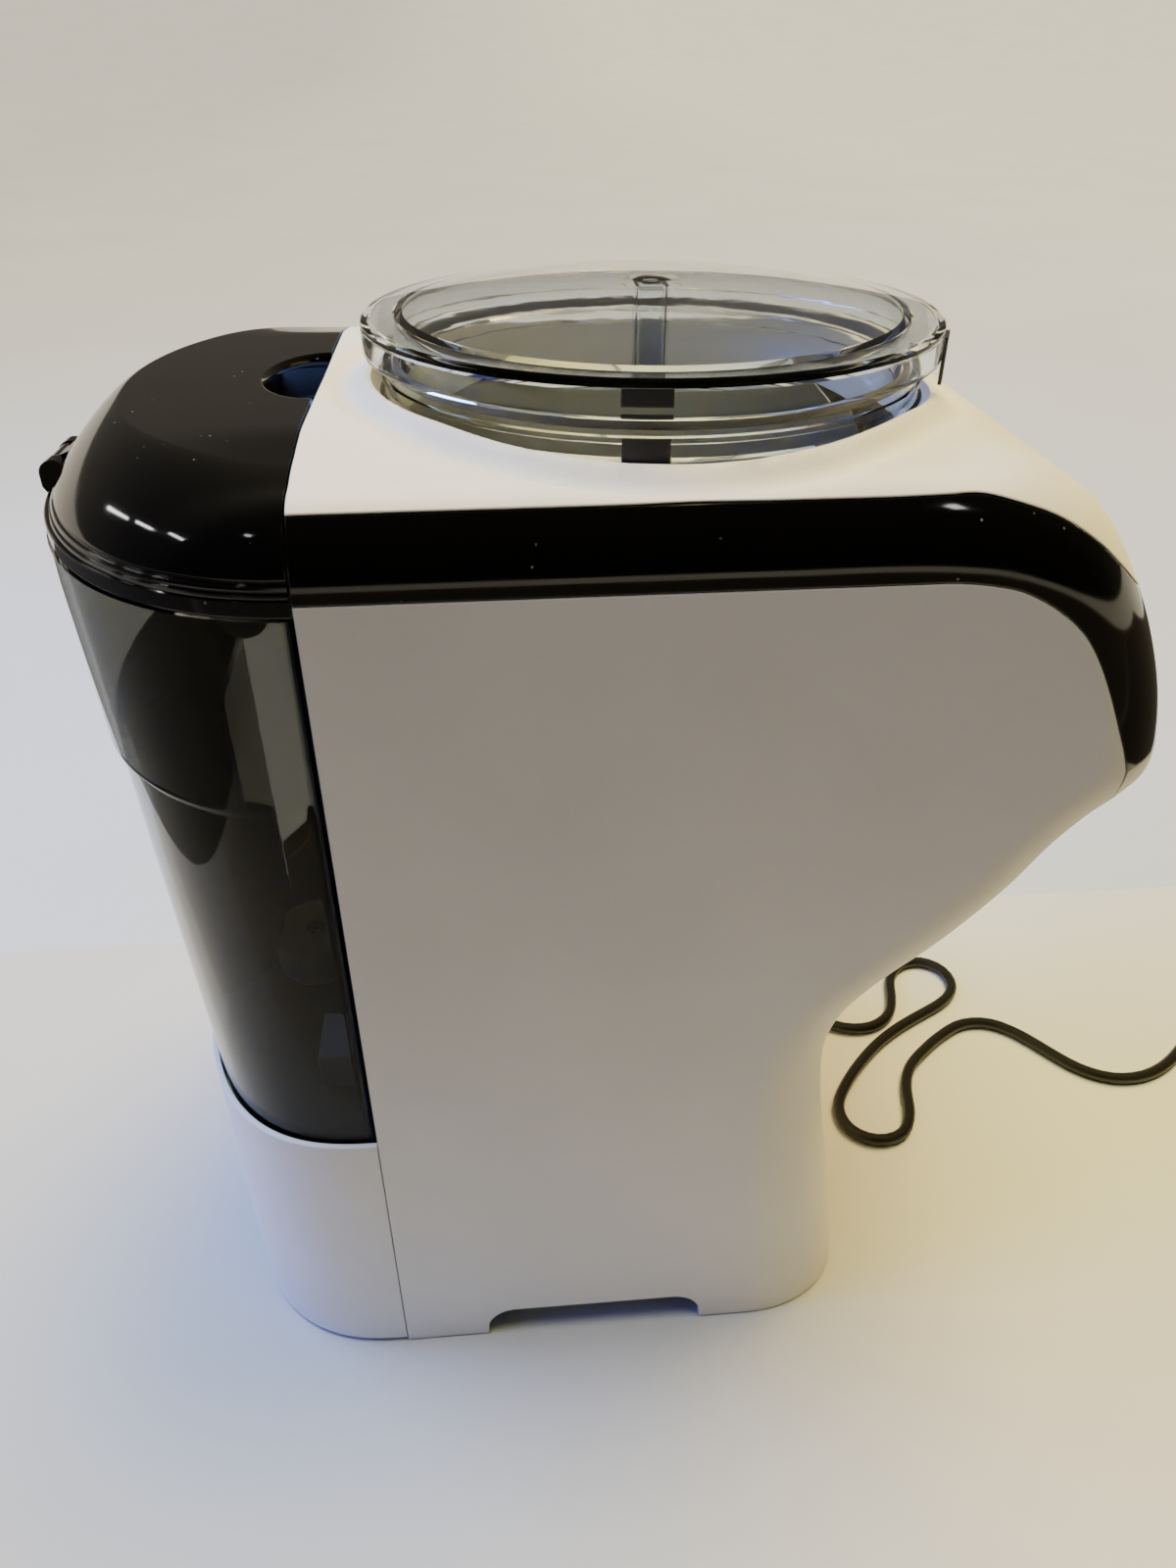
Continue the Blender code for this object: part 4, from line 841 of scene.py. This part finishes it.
def hand_recess(grow):
    """The upright hollow in the tank's rear that a hand reaches into, made larger by grow."""
    half = []
    # A corner of the plan's right half, and the way that it moves as the recess grows.
    for x, y, across, forward in ((46, 95, 1, 0), (44, 67, 1, 0.3), (25, 46.5, 0.8, 0.7), (19, 43, 0.2, 1)):
        half.append((x + grow * across, y - grow * forward))
    rounded_half = [half[0], *[tuple(p) for p in smooth(half[1:], 4)]]
    plan = [*rounded_half, *[(-x, y) for x, y in reversed(rounded_half)]]
    side = [(95, RECESS_TOP_Z + grow), (52, RECESS_TOP_Z + grow)]
    side += arc((52, RECESS_TOP_Z - 9), (9 + grow, 9 + grow), 90, 180, 12)
    side += [(41.5 - grow, RECESS_BOTTOM_Z - grow), (95, RECESS_BOTTOM_Z - grow)]
    recess = prism("recess", plan, 80, 260, "z")
    return combine(recess, prism("side", side, -60, 60), "INTERSECT")


def tank_shape(name, inset):
    """The tank's outside as one solid, drawn in by inset."""
    levels = [(TANK_BOTTOM_Z, 2.0), (TANK_BOTTOM_Z + 0.6, 0.9), (TANK_BOTTOM_Z + 2.0, 0.0)]
    levels += [(z, 0) for z in (*TANK_LEVELS, TANK_TOP_Z)]
    return loft(name, [tank_ring(z, inset + more) for z, more in levels])


def water_tank():
    """The smoked tank with its hand recess, and a thin black shell just inside the recess."""
    tank = tank_shape("tank", 0.0)
    inner = [(TANK_BOTTOM_Z + 2.5, 1.5), (TANK_BOTTOM_Z + 4.0, 0.0)]
    inner += [(z, 0) for z in (*TANK_LEVELS, TANK_TOP_Z + 6)]
    hollow = loft("hollow", [tank_ring(z, TANK_WALL + inset) for z, inset in inner])
    combine(tank, combine(hollow, hand_recess(TANK_WALL)))
    combine(tank, hand_recess(0.0))
    combine(tank, rod("valve_hole", (0, VALVE_Y, 0), [(7.4, 90), (7.4, 110)]))
    shown(tank, SMOKED, "tank", "water_tank", slot="smoked_clear")
    # A thin black shell just inside the recess's walls, which makes that area dark through the smoked
    # plastic.
    black_recess_shell = combine(hand_recess(-0.2), hand_recess(-1.0))
    combine(black_recess_shell, tank_shape("inside", 0.8), "INTERSECT")
    shown(black_recess_shell, BLACK, "tank")


def tank_collar():
    """The dark ring on the tank's mouth, with the lid's hinge ears and a lug on each side."""
    levels = [(TANK_TOP_Z + GAP, 0.5), (TANK_TOP_Z + 0.9, 0.0)]
    levels += [(LID_BOTTOM_Z - 0.8, 0.0), (LID_BOTTOM_Z - GAP, 0.4)]
    rings = []
    for z, inset in levels:
        outline = rear_outline(97.55 - inset, 77.6 - inset, 2.0, TANK_FRONT_Y)
        rings.append([(x, y, z) for x, y in outline])
    collar = loft("collar", rings)
    inner = rear_outline(HALF_WIDTH - 7.2, 69.6, 2.0, 6.6)
    combine(collar, prism("mouth", inner, 270, 300, "z"))
    outer = rear_outline(HALF_WIDTH - 4.5, 73.0, 2.02, 3.4)
    inner = rear_outline(HALF_WIDTH - 6.2, 71.3, 2.02, 5.1)
    skirt = prism("skirt", outer, TANK_TOP_Z - 1.5, TANK_TOP_Z + 2, "z")
    combine(skirt, prism("skirt_hole", inner, 270, 300, "z"))
    join(collar, skirt)
    combine(collar, box("knuckle_room", (-6.3, 72.3, 280), (6.3, 90, 300)))
    for low, high in ((-11.6, -6.6), (6.6, 11.6)):
        ear = [(HINGE_Y - 5, 286.0), (HINGE_Y + 2.2, 286.0), (HINGE_Y + EAR_R, 289.0)]
        ear += arc((HINGE_Y, HINGE_Z), (EAR_R, EAR_R), 0, 180, 16)
        join(collar, prism("ear", ear, low, high, "x"))
    lug = [(18.5, 286), *arc((12.5, 285), (6, 6), 0, -180, 20), (6.5, 286)]
    for x in (-92.0, 90.4):
        join(collar, prism("lug", lug, x, x + 1.6))
    pin_hole = rod("pin_hole", HINGE, [(PIN_HOLE_R, -11.1), (PIN_HOLE_R, 11.1)], 24, "x")
    shown(combine(collar, pin_hole), BLACK_GLOSS, "tank", "tank_collar", slot="black_gloss")


def lid_ring(z, inset=0.0, proud=0.0):
    """The lid's plan at height z: a shoulder that is round at the sides and slopes at the rear."""
    share = min(1.0, (z - LID_SPRING_Z) / (LID_RISE - inset))
    half, depth = HALF_WIDTH - inset + proud, LID_DEPTH - inset + proud
    front = LID_FRONT_Y + inset
    start = math.asin(front / (depth * (LID_SHARE + (1 - LID_SHARE) * math.sqrt(1 - share**2))))
    ring = []
    for t in np.linspace(start, math.pi - start, 97):
        power = 2.0 - 0.75 * math.sin(t)
        reach = (1 - share**power) ** (1 / power)
        level = LID_SHARE - 0.035 * math.sin(t) ** 2.7
        rho = level + (1 - level) * reach
        ring.append((half * rho * math.cos(t), depth * rho * math.sin(t), z))
    ring[0], ring[-1] = (ring[0][0], front, z), (ring[-1][0], front, z)
    return ring


def crowned(ring):
    """The ring, lowered with the crown."""
    return [(x, y, z + crown(x, y)) for x, y, z in ring]


def lid_top(ring, front):
    """Rings drawn in from the lid's topmost one over its crowned top."""
    rings = [crowned(ring)]
    for share in np.linspace(0.96, 0.64, 9):
        rings.append(crowned([(x * share, front + (y - front) * share + 1 - share, z) for x, y, z in ring]))
    return rings


def dome_levels(rise, first, count):
    """Heights on a quarter circle of radius rise, from first to 88 degrees."""
    return [LID_SPRING_Z + rise * math.sin(math.radians(a)) for a in np.linspace(first, 88, count)]


def lid_pocket():
    """The filling pocket in the lid's front edge: a half ellipse whose floor is smaller than its mouth."""
    half = arc((0, 0), (1, 1), 0, 180, 48)
    floor = [(22.0 * x, LID_FRONT_Y + 13.5 * y) for x, y in half]
    mouth = [(25.5 * x, LID_FRONT_Y + 16.5 * y) for x, y in half]
    # Height, how far from floor to mouth, and how far in front.
    walls = [(303.0, 0.0, -1.4), (303.4, 0.15, -0.6), (304.5, 0.3, 0), (312.5, 0.45, 0)]
    walls += [(314.2, 0.75, 0), (315.4, 1.15, 0), (320, 1.15, 0)]
    rings = []
    for z, share, inset in walls:
        ring = []
        for low, high in zip(floor, mouth):
            x, y = (a + (b - a) * share for a, b in zip(low, high))
            ring.append((x, y + inset, z))
        rings.append([(ring[0][0], -6, z), *ring, (ring[-1][0], -6, z)])
    return loft("pocket", rings)


def tank_lid():
    """The gloss lid: ribbed rim, crowned shell, filling pocket and hinge knuckle."""
    # Height, and how far the rim's ribs stand out.
    ribs = [(290.6, -0.5), (290.9, 0.0), (291.7, 0.0), (292.0, -0.6), (292.3, -0.6), (292.6, 0.0)]
    ribs += [(293.6, 0.0), (293.9, -0.55), (294.3, -0.55), (294.8, -0.1)]
    levels = ribs + [(z, 0.0) for z in dome_levels(LID_RISE, 16, 19)]
    rings = [crowned(lid_ring(z, 0.0, proud)) for z, proud in levels]
    lid = loft("gloss_lid", rings + lid_top(lid_ring(TOP_Z), LID_FRONT_Y))
    rings = [crowned(lid_ring(z, LID_WALL)) for z in dome_levels(LID_RISE - LID_WALL, 8, 14)]
    rings.insert(0, [(x, y, 280) for x, y, _ in rings[0]])
    rings += lid_top(lid_ring(TOP_Z - LID_WALL, LID_WALL), LID_FRONT_Y + LID_WALL)
    combine(lid, loft("hollow", rings))
    join(lid, prism("cup", arc((0, 1.2), (25.5, 16.2), 0, 180, 48), 301, 314, "z"))
    combine(lid, lid_pocket())
    knuckle = [(71.8, 291.2), (HINGE_Y - 2, 289.4)]
    knuckle += arc((HINGE_Y, HINGE_Z), (HINGE_R, HINGE_R), -80, 100, 24) + [(71.8, 297.4)]
    for side in (-1, 1):
        low, high = sorted((side * 6.2, side * 12.0))
        combine(lid, rod("ear_room", HINGE, [(4.8, low), (4.8, high)], 48, "x"))
    join(lid, prism("knuckle", knuckle, -5.9, 5.9, "x"))
    combine(lid, rod("pin_hole", HINGE, [(PIN_HOLE_R, -20), (PIN_HOLE_R, 20)], 24, "x"))
    shown(lid, BLACK_GLOSS, "lid", "tank_lid", slot="black_gloss", angle=38)


tank_cradle()
water_tank()
tank_collar()
tank_lid()


# ---------------- powder container and its lid


def mark_strip(name, r, angles, heights, body, thick=0.5):
    """A dark curved strip on a round wall, between two angles in degrees."""
    outline = arc(AXIS[:2], (r, r), *angles, 8)
    outline += arc(AXIS[:2], (r + thick, r + thick), *angles[::-1], 8)
    shown(prism(name, outline, *heights, "z"), BLACK, body)


def container():
    """The clear tub with a bead under its mouth, and its alignment mark."""
    floor, top = CONTAINER_FLOOR_Z, CONTAINER_TOP_Z
    profile = [
        (8, floor), (71.4, floor), (72.4, 244.6), (73.0, 246.4), (73.6, 251),
        (74.3, 304.0), (74.9, 305.6), (76.2, 306.6), (76.6, 307.6), (76.6, 311.2), (76.2, 311.9),
        (75.2, 312.4), (75.0, 313.0), (75.0, 315.4), (75.6, 315.8), (75.6, 317.0), (75.0, 317.4),
        (75, top - 0.5), (74.5, top), (73.1, top), (72.6, top - 0.5), (72.3, 309),
        (71, 252), (70.6, 248.6), (69.6, 246.8), (68.6, 246.5), (8, 246.5),
    ]
    tub = turned("container", profile, AXIS, 160)
    combine(tub, rod("outlet", (0, AXIS_Y - 58, 0), [(9, 240), (9, 250)]))
    shown(tub, CLEAR, "container", "powder_container", slot="clear_plastic")
    mark_strip("container_strip", 76.7, MARK_ANGLES, (300.0, 317.4), "container")


def square_post(name, half, corner, low, high):
    """An upright square bar on the container's axis."""
    outline = [(x, y + AXIS_Y) for x, y in rounded(half, half, corner)]
    return prism(name, outline, low, high, "z")


def domed(radii, rim_z):
    """Points on the powder lid's shallow dome, which is LID_DOME higher in the middle than at rim_z."""
    return [(r, rim_z + LID_DOME * (1 - (r / 78.0) ** 2)) for r in radii]


def powder_lid():
    """The clear lid with its rim, skirt, hollow square post and marks, and the gasket on the skirt."""
    dome = domed((6, 12, 20, 30, 40, 50, 60, 68, 74, 78.2), 331.2)
    under = domed((68.2, 60, 50, 40, 30, 20, 12, 6), 328.6)
    r = POWDER_LID_R
    profile = [(0, 337.8), (2.4, 337.75), (2.8, 337.4), *dome, (79.2, 330.9), (79.8, 330.4), (r, 329.7)]
    profile += [(r, 323.0), (79.8, 322.4), (79.3, 322.1), (78.0, 322.1), (77.5, 322.4), (77.3, 323.0)]
    profile += [(77.3, 328.0), (76.9, 328.6), (76.2, 328.8), (70.8, 329.1), (70.2, 328.6), (70.0, 328.0)]
    profile += [(70.0, 317.6), (69.6, 317.2), (68.8, 317.2), (68.4, 317.6), (68.3, 328.6)]
    lid = turned("clear_lid", [*profile, *under, (0, 335.2)], AXIS, 180)
    post = square_post("post", 4.6, 1.0, 310, 336.2)
    join(lid, combine(post, square_post("core", 3.4, 0.6, 300, 334)))
    shown(lid, CLEAR, "container_lid", "powder_lid", slot="clear_plastic", angle=28)
    outside = POWDER_LID_R + 0.05
    mark_strip("lid_strip", outside, MARK_ANGLES, (325.3, 329.4), "container_lid")
    mark_strip("lid_strip_low", outside, MARK_ANGLES, (322.7, 323.7), "container_lid")
    mark_strip("lid_tab", outside, (244.5, 251.5), (316.9, 328.8), "container_lid", 0.9)
    ring = [(70.7, 317.9), (71.9, 317.9), (72.1, 318.2), (72.1, 320.3), (71.9, 320.6), (70.7, 320.6)]
    shown(turned("gasket", ring, AXIS, 120), SEAL, "seal", "lid_seal", slot="silicone")


container()
powder_lid()


# ---------------- what stays as it is, and the studio


def finish_nodes():
    """Every CAD node that still shows gets its slot's full material."""
    slots = {part["node"]: part["material_slot"] for part in frame["record"]["subparts"]}
    for name, thing in nodes.items():
        if not thing.hide_render:
            thing.data.materials.clear()
            thing.data.materials.append(BY_SLOT[slots[name]])


def lamp(name, kind, direction, power, color, size=None, spot=None, tilt=None):
    """A sun from direction, or a panel at spot that shines against direction.

    Only a panel with a tilt, which may be 0, shows in reflections.
    """
    data = bpy.data.lights.new(name, kind)
    data.energy = power
    data.color = color
    if kind == "SUN":
        data.angle = math.radians(35)
    else:
        data.shape = "RECTANGLE"
        data.size, data.size_y = size
    thing = bpy.data.objects.new(name, data)
    scene.collection.objects.link(thing)
    thing.location = spot or (0, 0, 2)
    thing.rotation_mode = "QUATERNION"
    turn = Quaternion((0, 0, 1), math.radians(tilt or 0))
    thing.rotation_quaternion = Vector(direction).to_track_quat("Z", "Y") @ turn
    thing.visible_glossy = tilt is not None


def along(tree, kind, axis, reach):
    """From 0 to 1 over reach, on one axis of the texture coordinates."""
    coords = tree.nodes.new("ShaderNodeTexCoord")
    split = tree.nodes.new("ShaderNodeSeparateXYZ")
    tree.links.new(coords.outputs[kind], split.inputs["Vector"])
    spread = tree.nodes.new("ShaderNodeMapRange")
    spread.inputs["From Min"].default_value = reach[0]
    spread.inputs["From Max"].default_value = reach[1]
    tree.links.new(split.outputs[axis], spread.inputs["Value"])
    return spread.outputs["Result"]


def paper(name, low, high, axis, reach):
    """Matt paper, faintly mottled, whose tone goes from low to high along an axis; where low and high
    differ, that change is painted light and shade.
    """
    made, links, shader = new_material(name)
    tree = made.node_tree
    tone = ramp(tree, along(tree, "Object", axis, reach), [(0.0, low), (1.0, high)])
    mottle = noise(tree, 3.0, 5.0, 0.6)
    share = ramp(tree, mottle.outputs["Fac"], [(0.3, 0.93), (0.7, 1.0)])
    mix = tree.nodes.new("ShaderNodeMix")
    mix.data_type = "RGBA"
    mix.blend_type = "MULTIPLY"
    mix.inputs[0].default_value = 1.0
    links.new(tone.outputs["Color"], mix.inputs[6])
    links.new(share.outputs["Color"], mix.inputs[7])
    links.new(mix.outputs[2], shader.inputs["Base Color"])
    shader.inputs["Roughness"].default_value = 0.6
    return made


def sheet(name, material, line, low, high):
    """A staged sheet that follows a line of (x, z) in metres, from y = low to y = high."""
    mesh = bpy.data.meshes.new(name)
    corners = [(x, y, z) for x, z in line for y in (low, high)]
    mesh.from_pydata(corners, [], [(i, i + 2, i + 3, i + 1) for i in range(0, len(corners) - 2, 2)])
    mesh.materials.append(material)
    made = bpy.data.objects.new(name, mesh)
    scene.collection.objects.link(made)
    return made


def room():
    """The world: nearly dark behind the camera, and dim ahead of it."""
    world = bpy.data.worlds.new("room")
    scene.world = world
    world.use_nodes = True
    tree = world.node_tree
    stops = [(0.3, (0.012, 0.010, 0.008)), (0.95, (0.17, 0.15, 0.12))]
    tone = ramp(tree, along(tree, "Generated", "X", (-1.0, 1.0)), stops)
    tree.links.new(tone.outputs["Color"], tree.nodes["Background"].inputs["Color"])


def floor_and_wall():
    """A pale table, and pale ground that sweeps up far behind it, both with painted light and shade:
    lighter towards -y and darker towards +y.
    """
    # Painted light and shade: the table is lighter towards -y, where the warm light comes from, and darker
    # towards +y.
    table = paper("table_paper", (0.61, 0.63, 0.66), (0.49, 0.51, 0.56), "Y", (-0.35, 0.30))
    # Painted light and shade: the ground is tinted blue for the cool light, and is lighter towards -y than
    # towards +y.
    backing = paper("backing_paper", (0.57, 0.63, 0.78), (0.42, 0.47, 0.64), "Y", (-1.5, 1.5))
    sheet("table", table, [(-3.0, 0.0), (0.128, 0.0)], -3.0, 3.0)
    sheet("ground", backing, [(-30.0, -0.001), (12.0, -0.001), (40.0, 3.4)], -60.0, 60.0)


def painted_shade_cards():
    """Dark cards just above the floor that paint shade, seen only in reflections; the near one also takes
    up stray light, painting shade into the light that the floor bounces.
    """
    # Painted shade: the near card darkens from 0.44 at x = -0.20 to 0.05 at x = -0.50, towards the camera's
    # side.
    falloff = paper("painted_falloff_paper", 0.05, 0.44, "X", (-0.50, -0.20))
    # Painted shade in reflections: the rear and front cards are near black and only darken what the gloss
    # and clear parts mirror.
    dark = paper("painted_reflection_shade", 0.04, 0.04, "X", (-1.0, 1.0))
    near = sheet("near_card", falloff, [(-3.0, 0.001), (-0.20, 0.001)], -3.0, 3.0)
    rear = sheet("rear_card", dark, [(-0.45, 0.002), (0.6, 0.002)], 0.40, 3.0)
    front = sheet("front_card", dark, [(-0.45, 0.002), (0.6, 0.002)], -3.0, -0.55)
    for card in (near, rear, front):
        card.visible_camera = False
        card.visible_shadow = False
        card.visible_transmission = False
        card.visible_diffuse = card == near


def lights():
    """Soft warm and cool light from above, and slim panels that mirror in the gloss parts."""
    lamp("top", "SUN", (0, 0, 1), 2.9, (1.0, 0.95, 0.40))
    lamp("warm", "SUN", (0.30, -0.30, 0.906), 5.6, (1.0, 0.70, 0.20))
    lamp("cool", "AREA", (0.3, 0.75, 0.75), 16, (0.28, 0.52, 1.0), (0.6, 0.6), (0.3, 0.803, 0.9))
    lamp("sky", "SUN", (0, 0.819, 0.574), 2.6, (0.08, 0.12, 1.0))
    lid_shoulder = Vector((-0.082, 0.105, 0.303))
    # Direction from the tank lid's shoulder, power, size in metres and tilt in degrees.
    panels = [
        ((0.31, 0.875, 0.35), 1.6, (0.50, 0.035), 33),
        ((0.10, 0.87, 0.48), 0.8, (0.20, 0.035), 34),
        ((-0.09, 0.83, 0.545), 1.2, (0.34, 0.035), -4),
        ((-0.50, 0.48, 0.72), 0.25, (0.10, 0.03), 0),
        ((-0.42, -0.54, 0.74), 0.5, (0.10, 0.10), 0),
    ]
    for k, (direction, power, size, tilt) in enumerate(panels):
        spot = lid_shoulder + 2 * Vector(direction).normalized()
        lamp("window_%d" % k, "AREA", direction, power, (1.0, 1.0, 1.0), size, spot, tilt)


finish_nodes()
floor_and_wall()
painted_shade_cards()
room()
lights()
